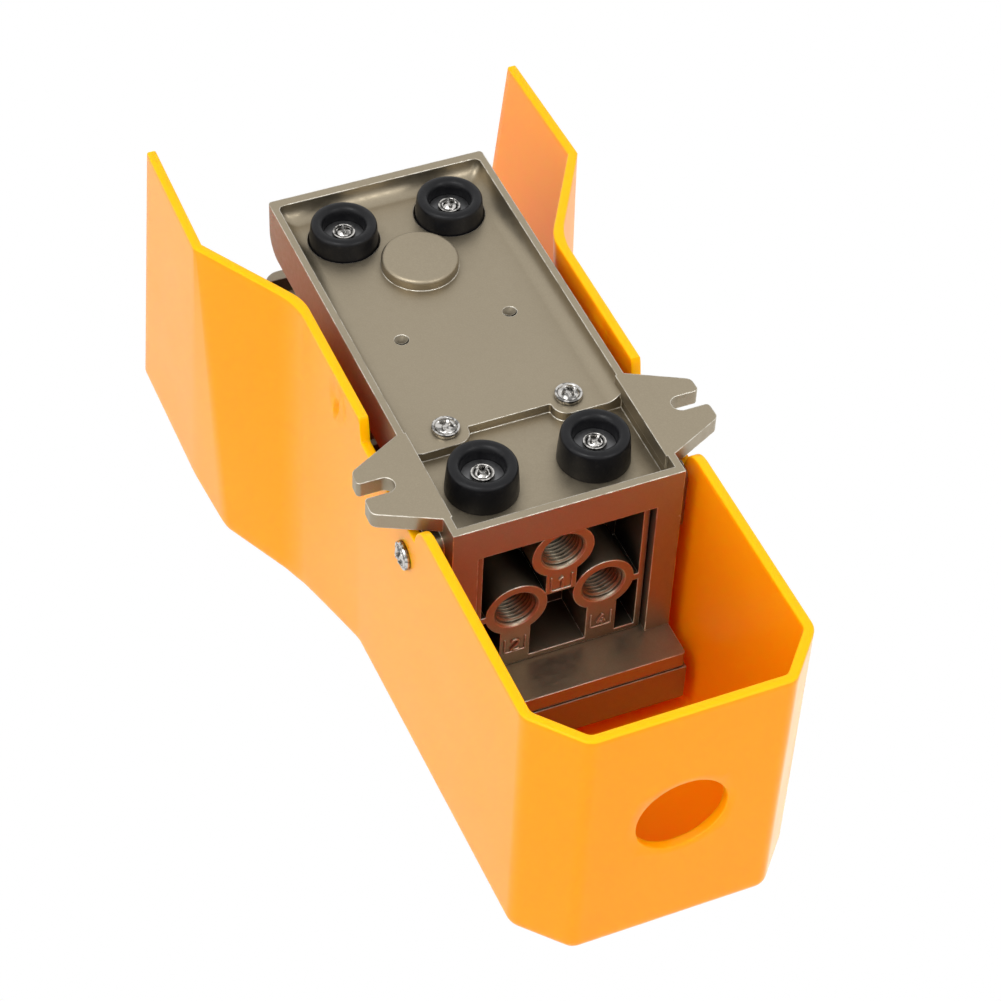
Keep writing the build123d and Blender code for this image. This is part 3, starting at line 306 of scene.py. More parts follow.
def edge_strip(outer, inner, away, rounding):
    """The rounded edge between the outer and inner skin along a line of points."""
    across = np.array([0.0, 0.05, 0.17, 0.5, 0.83, 0.95, 1.0])
    out = np.array([0.0, 0.6, 1.0, 1.0, 1.0, 0.6, 0.0]) * rounding
    strip = outer[:, None] * (1 - across[None, :, None]) + inner[:, None] * across[None, :, None]
    strip = strip + away[:, None] * out[None, :, None]
    return strip.reshape(-1, 3), grid_quads(len(outer), len(across))


def guard_half(hole_radius, hole_height, notch_start):
    """One side: both skins, the edges between them and half of the hose hole."""
    stations = guard_stations(guard_marks(), hole_radius)
    rest = (stations, hole_radius, hole_height, notch_start)
    outer = guard_skin(0.0, OUTER_EDGE_RADIUS, *rest)
    inner = guard_skin(WALL, INNER_EDGE_RADIUS, *rest)
    inner[0] = inner[0] + (outer[0] - inner[0]) * np.array([0, 1, 0])
    rows, columns = outer.shape[:2]
    column = np.arange(columns - 1)[None, :]
    row = np.arange(rows - 1)[:, None]
    first = int(np.argmin(np.abs(guard_marks()[-1] - stations - hole_radius)))
    last = 2 * HOLE_COLUMN
    hole = (row >= first) & (column >= HOLE_COLUMN) & (column < last)
    quads = grid_quads(rows, columns)[~hole.ravel()]

    def boundary(skin, step=0):
        """The open edge down the front and along the rim, or the line one step inside it."""
        return np.concatenate([skin[step, ::-1], skin[1:, step]])

    def ring(skin):
        """The half circle of grid points round the hose hole."""
        return np.concatenate([skin[first:, HOLE_COLUMN][::-1], skin[first, HOLE_COLUMN + 1:last],
                               skin[first:, last]])

    away = unit(boundary(outer) - boundary(outer, 1))
    away[columns - 1] = unit(np.array([0.0, -1.0, -1.0]))
    rim = edge_strip(boundary(outer), boundary(inner), away, STRIP_ROUNDING)
    centre = np.array([0.0, 0.0, hole_height])
    towards = unit((centre - ring(outer)) * np.array([1, 0, 1]))
    hole_edge = edge_strip(ring(outer), ring(inner), towards, HOLE_ROUNDING)
    skins = joined([(outer.reshape(-1, 3), quads), (inner.reshape(-1, 3), quads[:, ::-1]),
                    hole_edge])
    points, faces = joined([skins, rim])
    return points, faces, np.arange(len(faces)) >= len(skins[1])


def guard_surface(hole_radius, hole_height):
    """The right side and the mirrored left side, whose notch starts further forward."""
    right, right_faces, right_edge = guard_half(hole_radius, hole_height, NOTCH_START_RIGHT)
    left, left_faces, left_edge = guard_half(hole_radius, hole_height, NOTCH_START_LEFT)
    sides = [(right, right_faces), (left * np.array([-1, 1, 1]), left_faces[:, ::-1])]
    points, quads = joined(sides)
    return points, quads, np.concatenate([right_edge, left_edge]).astype(int)


# Turned and threaded pieces

def thread_wave(turn_share):
    """A rounded V between 0 at the crest and 1 at the root over one pitch."""
    saw = np.abs((turn_share % 1.0) * 2 - 1)
    return np.clip(saw * 1.25 - 0.125, 0, 1)


RECESS_DEPTH = 1.8


def cross_recess(x, y, width, length, depth):
    """Depth of a cross-shaped driver recess: two tapered slots, deepest in the middle."""
    along, beside = np.maximum(np.abs(x), np.abs(y)), np.minimum(np.abs(x), np.abs(y))
    taper = np.clip(1 - along / (length / 2), 0, 1)
    wall = np.clip((width / 2 * (0.7 + 0.5 * taper) - beside) / (0.18 * width), 0, 1)
    return depth * np.clip(taper * 2.6, 0, 1) * (0.45 + 0.55 * taper) * wall


def screw_surface(head, head_height, length, diameter, pitch=0.7, steps=96, sunk=0.0):
    """A screw on +Z with a cross recess and a threaded shank.

    Its head is a dome inside a low ring, or flat and countersunk where it is sunk. The shank's
    radius follows the thread's wave at height over pitch plus angle over a full turn.
    """
    radius = head / 2
    share = np.linspace(0, 1, 44)[:, None]
    angle = np.linspace(0, 2 * pi, steps + 1)[None, :]
    reach = share * radius * 0.9 + 0 * angle
    dome = head_height * (1 - 0.46 * np.clip(share / 0.84, 0, 1) ** 2.3)
    dome -= 0.22 * np.clip(1 - np.abs(share - 0.87) / 0.05, 0, 1) * head_height / 2.6
    dome = np.full_like(share, head_height) if sunk else dome
    top_z = dome - cross_recess(reach * np.cos(angle), reach * np.sin(angle), 0.20 * head,
                                0.66 * head, RECESS_DEPTH)
    if sunk:
        side = [(radius * 0.94, head_height), (radius, head_height - 0.12),
                (radius, head_height - 0.3), (diameter / 2, head_height - sunk)]
    else:
        side = [(radius * 0.955, head_height * 0.52), (radius * 0.99, head_height * 0.40),
                (radius, head_height * 0.28), (radius, head_height * 0.06), (radius * 0.985, 0.0),
                (diameter / 2, 0.0)]
    low = side[-1][1]
    rows = np.linspace(low - 0.4, low - (length - 0.8), int(length / pitch * 7))
    core = diameter / 2 - 0.54 * pitch * thread_wave(rows[:, None] / pitch + angle / (2 * pi))
    tip = [(diameter / 2 - 0.5 * pitch, low - length + 0.4),
           (diameter / 2 - 0.9 * pitch, low - length), (0.0, low - length)]
    side, tip = np.array(side), np.array(tip)
    r = np.concatenate([reach, side[:, :1] + 0 * angle, core, tip[:, :1] + 0 * angle])
    z = np.concatenate([top_z, *(column + 0 * angle for column in (side[:, 1:], rows[:, None],
                                                                   tip[:, 1:]))])
    points = np.stack([r * np.cos(angle), r * np.sin(angle), z], axis=-1)
    return points.reshape(-1, 3), grid_quads(len(r), steps + 1)


def port_thread_surface(major, pitch, depth, start, length, steps=72):
    """A threaded sleeve in a port: plain outside, and inside a V wound along the bore."""
    y = np.linspace(start, start + length, int(length / pitch * 9))[:, None]
    angle = np.linspace(0, 2 * pi, steps + 1)[None, :]
    fade = np.clip((start + length - y) / (1.2 * pitch), 0, 1)
    r = major - depth * (1 - thread_wave(y / pitch + angle / (2 * pi))) * fade - 0.03

    def ring(radius, at):
        """Circles of a radius round the bore's axis at places along it."""
        return np.stack([radius * np.cos(angle), at + 0 * angle, radius * np.sin(angle)], axis=-1)

    inside = ring(r, y)
    outside = [ring(major - 0.01, start + length), ring(major - 0.01, start), inside[:1]]
    points = np.concatenate([inside] + outside)
    return points.reshape(-1, 3), grid_quads(len(points), steps + 1)


def coil_surface(diameter, wire, low, high, turns, steps=22):
    """A compression spring: a round wire along a helix whose end turns lie flat and are ground."""
    t = np.linspace(0, 1, int(turns * 56))
    rise = np.clip((t * turns - 1.0) / (turns - 2.0), 0, 1)
    z = low + wire / 2 + (high - low - wire) * rise
    angle = 2 * pi * turns * t
    radius = (diameter - wire) / 2
    path = np.stack([radius * np.cos(angle), radius * np.sin(angle), z], axis=1)
    outwards = np.stack([np.cos(angle), np.sin(angle), 0 * angle], axis=1)
    around = np.linspace(0, 2 * pi, steps + 1)
    size = (wire / 2 * np.clip(np.minimum(t, 1 - t) * turns * 60, 0, 1) ** 0.5)[:, None, None]
    section = outwards[:, None] * np.cos(around)[None, :, None]
    section = section + np.array([0, 0, 1]) * np.sin(around)[None, :, None]
    points = path[:, None] + section * size
    points[..., 2] = np.clip(points[..., 2], low, high)
    return points.reshape(-1, 3), grid_quads(len(t), steps + 1)


def stroke_surface(path, width, height):
    """A raised stroke: a low bar with sloping sides along a path in X and Z, facing +Y."""
    path = np.asarray(path, float)
    ahead = unit(np.gradient(path, axis=0))
    beside = np.stack([-ahead[:, 1], ahead[:, 0]], axis=1)
    offset = np.array([-0.5, -0.5, -0.36, 0.36, 0.5, 0.5, -0.5]) * width
    rise = np.array([-0.3, 0.0, 1.0, 1.0, 0.0, -0.3, -0.3]) * height
    flat = path[:, None] + beside[:, None] * offset[None, :, None]
    points = np.stack([flat[..., 0], np.broadcast_to(rise, flat.shape[:2]), flat[..., 1]], axis=-1)
    first, last = points[:1].mean(axis=1, keepdims=True), points[-1:].mean(axis=1, keepdims=True)
    points = np.concatenate([np.broadcast_to(first, points[:1].shape), points,
                             np.broadcast_to(last, points[:1].shape)])
    return points.reshape(-1, 3), grid_quads(len(points), len(offset))


# Finishes

class Finish:
    """A node material under construction: short calls that add nodes and join them.

    Patterns stand in the object's own coordinates. Sockets that hold one value all over are set as
    constants when the finish is made.
    """

    def __init__(self, name, colour, roughness, metallic=0.0, **sockets):
        self.material = bpy.data.materials.new(name)
        self.material.use_nodes = True
        self.tree = self.material.node_tree
        self.shader = self.tree.nodes["Principled BSDF"]
        self.colour = tuple(colour) + (1.0,)
        self.shader.inputs["Base Color"].default_value = self.colour
        self.shader.inputs["Roughness"].default_value = roughness
        self.shader.inputs["Metallic"].default_value = metallic
        for socket, value in sockets.items():
            self.shader.inputs[socket.replace("_", " ")].default_value = value
        self.place = self.node("ShaderNodeTexCoord").outputs["Object"]

    def node(self, kind, **values):
        """A new node with the given settings."""
        made = self.tree.nodes.new(kind)
        for key, value in values.items():
            setattr(made, key, value)
        return made

    def link(self, source, node, socket):
        """A link from an output to a node's input."""
        self.tree.links.new(source, node.inputs[socket])

    def noise(self, scale, detail, stretch=None):
        """A noise pattern, its grain drawn out along the axes that stretch makes small."""
        made = self.node("ShaderNodeTexNoise")
        made.inputs["Scale"].default_value = scale
        made.inputs["Detail"].default_value = detail
        place = self.place
        if stretch:
            mapping = self.node("ShaderNodeMapping")
            mapping.inputs["Scale"].default_value = stretch
            self.link(place, mapping, "Vector")
            place = mapping.outputs["Vector"]
        self.link(place, made, "Vector")
        return made.outputs["Fac"]

    def spread(self, value, low, high, to_low, to_high):
        """A value's range laid out over another range and held at its ends."""
        made = self.node("ShaderNodeMapRange")
        for socket, number in (("From Min", low), ("From Max", high), ("To Min", to_low),
                               ("To Max", to_high)):
            made.inputs[socket].default_value = number
        self.link(value, made, "Value")
        return made.outputs["Result"]

    def combined(self, a, b, operation="ADD"):
        """Two values, or a value and a number, added or multiplied."""
        made = self.node("ShaderNodeMath", operation=operation)
        self.link(a, made, 0)
        if isinstance(b, float):
            made.inputs[1].default_value = b
        else:
            self.link(b, made, 1)
        return made.outputs["Value"]

    def tinted(self, share, other, base=None):
        """The base colour mixed towards another by a share."""
        made = self.node("ShaderNodeMix", data_type="RGBA")
        self.link(share, made, 0)
        made.inputs[6].default_value = self.colour
        made.inputs[7].default_value = tuple(other) + (1.0,)
        if base is not None:
            self.link(base, made, 6)
        self.link(made.outputs[2], self.shader, "Base Color")
        return made.outputs[2]

    def rough(self, value):
        """The roughness taken from a pattern."""
        self.link(value, self.shader, "Roughness")

    def relief(self, height, distance, strength, normal=None):
        """Bumps from a height pattern, on top of a given normal."""
        made = self.node("ShaderNodeBump")
        made.inputs["Strength"].default_value = strength
        made.inputs["Distance"].default_value = distance
        self.link(height, made, "Height")
        if normal is not None:
            self.link(normal, made, "Normal")
        self.link(made.outputs["Normal"], self.shader, "Normal")

    def rounded(self, radius):
        """Edges shaded as if rounded by a radius."""
        made = self.node("ShaderNodeBevel", samples=6)
        made.inputs["Radius"].default_value = radius
        self.link(made.outputs["Normal"], self.shader, "Normal")
        return made.outputs["Normal"]

    def painted_shade_share(self, distance):
        """How far surfaces within a distance shut a place in, as a mask for painted shade: 0 open,
        1 in a corner.
        """
        made = self.node("ShaderNodeAmbientOcclusion", samples=8)
        made.inputs["Distance"].default_value = distance
        return self.spread(made.outputs["AO"], 0.85, 0.25, 0.0, 1.0)

    def edges(self, normal):
        """How near a place is to an edge: how far its rounded normal leans from the flat one."""
        facing = self.node("ShaderNodeVectorMath", operation="DOT_PRODUCT")
        geometry = self.node("ShaderNodeNewGeometry")
        self.link(geometry.outputs["Normal"], facing, 0)
        self.link(normal, facing, 1)
        return self.spread(facing.outputs["Value"], 0.99, 0.8, 0.0, 1.0)


def scaled(colour, share):
    """A colour at a share of its brightness."""
    return tuple(share * c for c in colour)


def cast_finish(name, colour, wear_and_highlight_colour, radius, corner_shade_share=0.35, reach=0.006):
    """Satin metallic coat on a casting: fine grain, pale worn edges that are partly painted edge
    highlights, and painted shade in corners.
    """
    finish = Finish(name, colour, 0.42, 0.92)
    rounded = finish.rounded(radius)
    wear = finish.spread(finish.noise(260.0, 6.0), 0.36, 0.54, 0.22, 1.0)
    worn = finish.combined(finish.edges(rounded), wear, "MULTIPLY")
    grain = finish.noise(2300.0, 2.0)
    base = finish.tinted(finish.spread(grain, 0.42, 0.70, 0.0, 0.20), scaled(colour, 1.4))
    cloud = finish.spread(finish.noise(30.0, 5.0), 0.35, 0.7, 0.0, 0.10)
    base = finish.tinted(cloud, scaled(colour, 0.80), base)
    # Painted shade: the colour darkens towards near-black where nearby surfaces shut a place in.
    corner = finish.combined(finish.painted_shade_share(reach), corner_shade_share, "MULTIPLY")
    base = finish.tinted(corner, scaled(colour, 0.12), base)
    # Pale edges: wear, and also painted edge highlights.
    finish.tinted(worn, wear_and_highlight_colour, base)
    finish.rough(finish.spread(finish.noise(500.0, 3.0), 0.3, 0.7, 0.37, 0.47))
    waves = finish.combined(finish.noise(90.0, 2.0), 0.8, "MULTIPLY")
    finish.relief(finish.combined(grain, waves), 0.00003, 0.5, rounded)
    return finish.material


def guard_finish(name, colour, reach, share):
    """Moulded plastic in whose wall red light spreads far, green less and blue hardly."""
    finish = Finish(name, colour, 0.30, 0.0, Specular_IOR_Level=0.15, Subsurface_Weight=share,
                    Subsurface_Radius=(1.0, 0.22, 0.02), Subsurface_Scale=reach)
    cloud = finish.spread(finish.noise(14.0, 2.0), 0.0, 1.0, 0.0, 0.6)
    finish.tinted(cloud, (colour[0], colour[1] * 0.90, colour[2]))
    finish.rough(finish.spread(finish.noise(40.0, 2.0), 0.0, 1.0, 0.26, 0.33))
    finish.relief(finish.noise(12.0, 0.0), 0.0006, 0.25)
    return finish.material


def rubber_finish(name, colour):
    """Moulded rubber: matt black with fine dust and a slight skin texture."""
    finish = Finish(name, colour, 0.4, 0.0, Specular_IOR_Level=0.24)
    dust = finish.spread(finish.noise(700.0, 6.0), 0.58, 0.80, 0.0, 0.08)
    finish.tinted(dust, (0.10, 0.095, 0.09))
    finish.rough(finish.spread(finish.noise(300.0, 4.0), 0.3, 0.7, 0.28, 0.48))
    finish.relief(finish.noise(1700.0, 3.0), 0.00004, 0.6)
    return finish.material


def metal_finish(name, colour, low, high, stretch=None, radius=0.0):
    """Bare or plated metal with fine wear: streaks where it is stretched along one axis."""
    finish = Finish(name, colour, (low + high) / 2, 1.0)
    normal = finish.rounded(radius) if radius else None
    streak = finish.noise(900.0, 5.0, stretch)
    finish.tinted(finish.spread(streak, 0.35, 0.7, 0.0, 0.25), scaled(colour, 0.7))
    finish.rough(finish.spread(streak, 0.3, 0.7, low, high))
    finish.relief(streak, 0.00002, 0.4, normal)
    return finish.material


def plated_finish(name, colour):
    """Bright plating with painted dark reflections in patches and painted shade in the recess."""
    finish = Finish(name, colour, 0.16, 1.0)
    # Painted reflection: dark patches stand for dark surroundings mirrored in the plating.
    painted_dark_reflection = finish.spread(finish.noise(640.0, 3.0), 0.49, 0.56, 0.0, 0.80)
    base = finish.tinted(painted_dark_reflection, scaled(colour, 0.16))
    # Painted shade in the cross recess.
    finish.tinted(finish.painted_shade_share(0.0016), scaled(colour, 0.05), base)
    finish.rough(finish.spread(finish.noise(1500.0, 3.0), 0.3, 0.7, 0.10, 0.24))
    finish.relief(finish.noise(700.0, 3.0), 0.00012, 0.5)
    return finish.material


CAST_EDGE = 0.0006
THREAD_EDGE = 0.0001
TURNED_EDGE = 0.0002
ALLOY = (0.70, 0.71, 0.73)
BRASS = (0.75, 0.56, 0.30)
ACETAL = (0.03, 0.03, 0.032)
FINISHES = {}


def finish_for(key):
    """A finish by its short name, once the finishes operator has made it."""
    return FINISHES[key]


def floor_finish():
    """Pale board seen from above; seen from below it lets the view through."""
    material = bpy.data.materials.new("floor_board")
    material.use_nodes = True
    tree = material.node_tree
    shader = tree.nodes["Principled BSDF"]
    shader.inputs["Base Color"].default_value = (0.86, 0.86, 0.86, 1.0)
    shader.inputs["Roughness"].default_value = 0.7
    output = tree.nodes["Material Output"]
    clear = tree.nodes.new("ShaderNodeBsdfTransparent")
    side = tree.nodes.new("ShaderNodeNewGeometry")
    mix = tree.nodes.new("ShaderNodeMixShader")
    tree.links.new(side.outputs["Backfacing"], mix.inputs["Fac"])
    tree.links.new(shader.outputs["BSDF"], mix.inputs[1])
    tree.links.new(clear.outputs["BSDF"], mix.inputs[2])
    tree.links.new(mix.outputs["Shader"], output.inputs["Surface"])
    return material


# Settings

def colour_setting(name, description, default):
    """A colour property, its values linear."""
    return bpy.props.FloatVectorProperty(name=name, description=description, default=default,
                                         size=3, min=0.0, max=1.0, subtype="COLOR")


def length_setting(name, description, default):
    """A length property in metres."""
    return bpy.props.FloatProperty(name=name, description=description, default=default, min=0.0,
                                   unit="LENGTH", subtype="DISTANCE")


class ValveColours(bpy.types.PropertyGroup):
    """Colours of the finishes"""
    guard: colour_setting("Guard", "Colour of the plastic guard", (1.0, 0.325, 0.001))
    # Painted glow: the cut edges are written brighter and yellower, standing for light passing
    # through the wall.
    guard_edge: colour_setting("Guard edge", "Colour of the guard's cut edges", (1.0, 0.46, 0.0))
    casting: colour_setting("Casting", "Colour of the coated castings", (0.335, 0.285, 0.205))
    # Pale edge colour: wear, and also painted edge highlights.
    casting_edge_wear_and_highlight: colour_setting("Casting edge", "Colour of worn edges", (0.92, 0.88, 0.78))
    # The pedal has the casting's coat, written darker as painted shade.
    pedal: colour_setting("Pedal", "Colour of the coated pedal", (0.28, 0.24, 0.178))
    rubber: colour_setting("Rubber", "Colour of feet, stop and seals", (0.005, 0.005, 0.006))
    screws: colour_setting("Screws", "Colour of the plated screws", (0.62, 0.60, 0.57))
    steel: colour_setting("Steel", "Colour of pin, clips and springs", (0.50, 0.50, 0.51))


class ValveSizes(bpy.types.PropertyGroup):
    """Sizes of the visible details"""
    hose_hole: length_setting("Hose hole", "Diameter of the hole in the closed end", 0.0285)
    hose_hole_height: length_setting("Hose hole height", "Its middle above the floor", 0.0460)
    thread_pitch: length_setting("Port pitch", "Pitch of the port threads", 0.001337)
    screw_pitch: length_setting("Screw pitch", "Pitch of the small screws", 0.0007)
    glow_reach: length_setting("Glow reach", "How deep light goes into the guard's plastic", 0.006)
    number_height: length_setting("Number height", "Height of the raised port numbers", 0.0044)


class ValveStudio(bpy.types.PropertyGroup):
    """Light and lens"""
    world: bpy.props.FloatProperty(name="World", description="Strength of the white surroundings",
                                   default=1.0, min=0.0, max=2.0)
    key: bpy.props.FloatProperty(name="Key lamp", description="Power of the main soft lamp",
                                 default=8.0, min=0.0, unit="POWER")
    fill: bpy.props.FloatProperty(name="Fill lamps", description="Power of each other soft lamp",
                                  default=2.0, min=0.0, unit="POWER")
    lens: bpy.props.FloatProperty(name="Lens", description="Focal length on a 36 mm sensor",
                                  default=106.467, min=1.0, unit="CAMERA")


# Operators: places in millimetres, taken from the solids

FOOT_X = 17.65
REAR_FOOT_Y = 41.4
FRONT_FOOT_Y = -69.8
DIMPLE_Y = -21.7
PORT_PLACES = [(0.0, 23.9), (-13.95, 43.6), (13.95, 43.6)]
PORT_RADIUS = 6.6
THREAD_DEPTH = 0.78
THREAD_START = 48.3
THREAD_LENGTH = 12.5
NUMBER_PLACES = {"1": (0.0, 36.8), "2": (-13.95, 58.7), "4": (13.95, 58.7)}
NUMBER_FACE_Y = 61.5
NUMBER_FRAME = [(-3.3, 2.9), (-3.3, -2.9), (3.3, -2.9), (3.3, 2.9)]
DIGIT_STROKE = (0.85, 0.6)
FRAME_STROKE = (0.45, 0.35)
FLOOR_HALF = 6.0
CAMERA_PLACE = (-0.26244939, 0.57770122, -0.60534517)
CAMERA_RIGHT = (0.92019285, 0.38989668, -0.03501)
CAMERA_UP = (0.26080105, -0.67728744, -0.68794224)
CAMERA_BACK = (-0.29193823, 0.62390889, -0.72492053)


class VALVE_OT_finishes(bpy.types.Operator):
    """Makes the finishes and puts them on the CAD pieces that stay"""
    bl_idname = "valve.finishes"
    bl_label = "Finishes"

    def execute(self, context):
        colours = context.scene.valve_colours
        reach = context.scene.valve_sizes.glow_reach
        casting, worn = tuple(colours.casting), tuple(colours.casting_edge_wear_and_highlight)
        steel = tuple(colours.steel)
        FINISHES.update(
            casting=cast_finish("coated_casting", casting, worn, CAST_EDGE),
            # The pedal's coat and edges are written darker than the casting's: painted shade.
            pedal=cast_finish("coated_pedal_painted_shade", tuple(colours.pedal), scaled(worn, 0.6), CAST_EDGE),
            guard=guard_finish("guard_plastic", tuple(colours.guard), reach, 0.8),
            # Painted glow of light through the wall on the guard's cut edges.
            guard_edge=guard_finish("guard_edge", tuple(colours.guard_edge), reach, 0.4),
            rubber=rubber_finish("black_rubber", tuple(colours.rubber)),
            # The valve block's copy of the coat, with strong painted shade in its cavities and
            # corners.
            block=cast_finish("coated_block_painted_shade", casting, worn, CAST_EDGE, 0.90, 0.016),
            # A darker copy of the coat with strong corner darkening: painted shade in the threads
            # and dimples.
            thread=cast_finish("cut_thread_painted_shade", scaled(casting, 0.62), worn, THREAD_EDGE, 0.9),
            screws=plated_finish("plated_screws", tuple(colours.screws)),
            # The washers' steel at about a third of its brightness: painted shade in the feet's
            # recesses.
            washers=metal_finish("washer_steel_painted_shade", scaled(steel, 0.36), 0.3, 0.5),
            steel=metal_finish("ground_steel", steel, 0.22, 0.42, (0.15, 1, 1)),
            spring=metal_finish("spring_wire", steel, 0.24, 0.40),
            alloy=metal_finish("turned_alloy", ALLOY, 0.2, 0.38, (1, 1, 0.1), TURNED_EDGE),
            brass=metal_finish("turned_brass", BRASS, 0.25, 0.4, (0.2, 1, 1), TURNED_EDGE),
            cap=rubber_finish("black_acetal", ACETAL),
        )
        worn_by = {
            "casting": ("base_housing", "hinge_bracket"),
            "block": ("valve_block",),
            "pedal": ("pedal",),
            "alloy": ("spool", "bore_plug"),
            "rubber": ("spool_seals", "plug_seal", "rod_seal", "stop_bumper"),
            "brass": ("guide_bush", "pedal_bush_left", "pedal_bush_right"),
            "cap": ("push_cap",),
            "steel": ("pedal_pin", "pin_clips"),
            "washers": ("foot_washers",),
        }
        for key, names in worn_by.items():
            for name in names:
                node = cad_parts[name]
                node.data.materials.clear()
                node.data.materials.append(finish_for(key))
        return {"FINISHED"}


class VALVE_OT_guard(bpy.types.Operator):
    """Makes the guard: two skins over the same grid, joined by rounded edges"""
    bl_idname = "valve.guard"
    bl_label = "Guard"

    def execute(self, context):
        sizes = context.scene.valve_sizes
        points, quads, index = guard_surface(sizes.hose_hole / MM / 2, sizes.hose_hole_height / MM)
        mesh = mesh_from("guard_shell", points, quads, 45.0, finish_index=index)
        finishes = [finish_for("guard"), finish_for("guard_edge")]
        place_piece("guard_shell", mesh, "base", finishes, ["guard"])
        return {"FINISHED"}


class VALVE_OT_feet(bpy.types.Operator):
    """Makes the four rubber feet, each a rounded profile turned round its screw"""
    bl_idname = "valve.feet"
    bl_label = "Feet"

    def execute(self, context):
        corners = [(0.0, 10.3), (10.95, 10.3), (10.8, 6.8), (10.25, 0.0), (7.6, 0.0),
                   (6.5, 1.1), (6.4, 5.9), (0.0, 5.9)]
        radii = [0.0, 0.2, 1.0, 1.5, 0.9, 1.0, 0.4, 0.0]
        points, quads = turned(rounded_path(corners, radii), 120)
        places = {"rear_left": (-FOOT_X, REAR_FOOT_Y), "rear_right": (FOOT_X, REAR_FOOT_Y),
                  "front_left": (-FOOT_X, FRONT_FOOT_Y), "front_right": (FOOT_X, FRONT_FOOT_Y)}
        for name, (x, y) in places.items():
            mesh = mesh_from("foot_rubber_" + name, points + np.array([x, y, 0.0]), quads, 50.0)
            place_piece("foot_rubber_" + name, mesh, "base", [finish_for("rubber")],
                        ["rubber_foot_" + name])
        return {"FINISHED"}


class VALVE_OT_dimples(bpy.types.Operator):
    """Makes the conical cups at the bottom of the tray's two dimples"""
    bl_idname = "valve.dimples"
    bl_label = "Dimples"

    def execute(self, context):
        corners = [(0.0, 7.85), (0.6, 7.75), (1.9, 7.12), (2.15, 7.05), (2.15, 7.88),
                   (0.0, 7.88)]
        cup, quads = turned(rounded_path(corners, [0.0, 0.3, 0.2, 0.03, 0.03, 0.0]), 48)
        parts = [(cup + np.array([x, DIMPLE_Y, 0.0]), quads) for x in (-FOOT_X, FOOT_X)]
        # The cups wear the darker thread finish: painted shade in the dimples.
        place_piece("dimple_cups", mesh_from("dimple_cups", *joined(parts), 50.0), "base",
                    [finish_for("thread")])
        return {"FINISHED"}


class VALVE_OT_screws(bpy.types.Operator):
    """Makes the four sets of screws with cross recesses and threads"""
    bl_idname = "valve.screws"
    bl_label = "Screws"

    def execute(self, context):
        pitch = context.scene.valve_sizes.screw_pitch / MM
        down, up = (0, 0, -1), (0, 0, 1)
        sets = {
            "foot_screws": (screw_surface(7.2, 2.6, 16.6, 4.0, pitch),
                            [((x, y, 4.9), down) for x in (-FOOT_X, FOOT_X)
                             for y in (REAR_FOOT_Y, FRONT_FOOT_Y)]),
            "valve_block_screws": (screw_surface(8.6, 2.6, 16.0, 4.0, pitch),
                                   [((x, 18.5, 7.0), down) for x in (-19.6, 19.6)]),
            "guard_screws": (screw_surface(9.0, 2.8, 12.0, 5.0, pitch + 0.1),
                             [((x, 47.5, 22.2), (x, 0, 0)) for x in (-43.7, 43.7)]),
            "bracket_screws": (screw_surface(7.4, 0.0, 16.4, 4.0, pitch, sunk=2.2),
                               [((x, y, 73.2), up) for x in (-32, 32) for y in (14.0, 58.0)]),
        }
        for order, (node, ((points, quads), places)) in enumerate(sets.items()):
            parts = [(moved_to(points, place, direction, 0.5 + 0.83 * i + 0.4 * order), quads)
                     for i, (place, direction) in enumerate(places)]
            name = node.replace("screws", "screw_set")
            mesh = mesh_from(name, *joined(parts), 38.0)
            place_piece(name, mesh, "base", [finish_for("screws")], [node])
        return {"FINISHED"}


class VALVE_OT_ports(bpy.types.Operator):
    """Makes the port threads and the raised plain numbers beside them"""
    bl_idname = "valve.ports"
    bl_label = "Ports"

    def execute(self, context):
        sizes = context.scene.valve_sizes
        pitch = sizes.thread_pitch / MM
        sleeve, quads = port_thread_surface(PORT_RADIUS, pitch, THREAD_DEPTH, THREAD_START,
                                            THREAD_LENGTH)
        parts = [(sleeve + np.array([x, 0, z]), quads) for x, z in PORT_PLACES]
        mesh = mesh_from("port_threads", *joined(parts), 60.0)
        # The threads wear the darker thread finish: painted shade in the bores.
        place_piece("port_threads", mesh, "base", [finish_for("thread")])
        size = sizes.number_height / MM
        digits = number_strokes()
        parts = []
        for digit, (x, z) in NUMBER_PLACES.items():
            strokes = [(path * size, DIGIT_STROKE) for path in digits[digit]]
            strokes.append((rounded_path(NUMBER_FRAME, [0, 0.5, 0.5, 0]), FRAME_STROKE))
            for path, stroke in strokes:
                bar, quads = stroke_surface(path * np.array([1, -1]), *stroke)
                parts.append((bar + np.array([x, NUMBER_FACE_Y, z]), quads))
        mesh = mesh_from("port_numbers", *joined(parts), 30.0)
        place_piece("port_numbers", mesh, "base", [finish_for("casting")])
        return {"FINISHED"}


def number_strokes():
    """Paths of plain digits one unit high, X to the right and Z up."""
    bow = np.linspace(radians(160), radians(-40), 14)
    two = np.stack([0.26 * np.cos(bow), 0.24 + 0.24 * np.sin(bow)], axis=1)
    return {
        "1": [rounded_path([(-0.2, 0.28), (0.05, 0.5), (0.05, -0.5)], [0, 0.04, 0])],
        "2": [np.concatenate([two, [(-0.28, -0.46)], [(-0.2, -0.46)], [(0.3, -0.46)]])],
        "4": [rounded_path([(0.32, -0.2), (-0.3, -0.2), (0.12, 0.5)], [0, 0.05, 0]),
              np.array([(0.12, 0.12), (0.12, -0.5)])],
    }


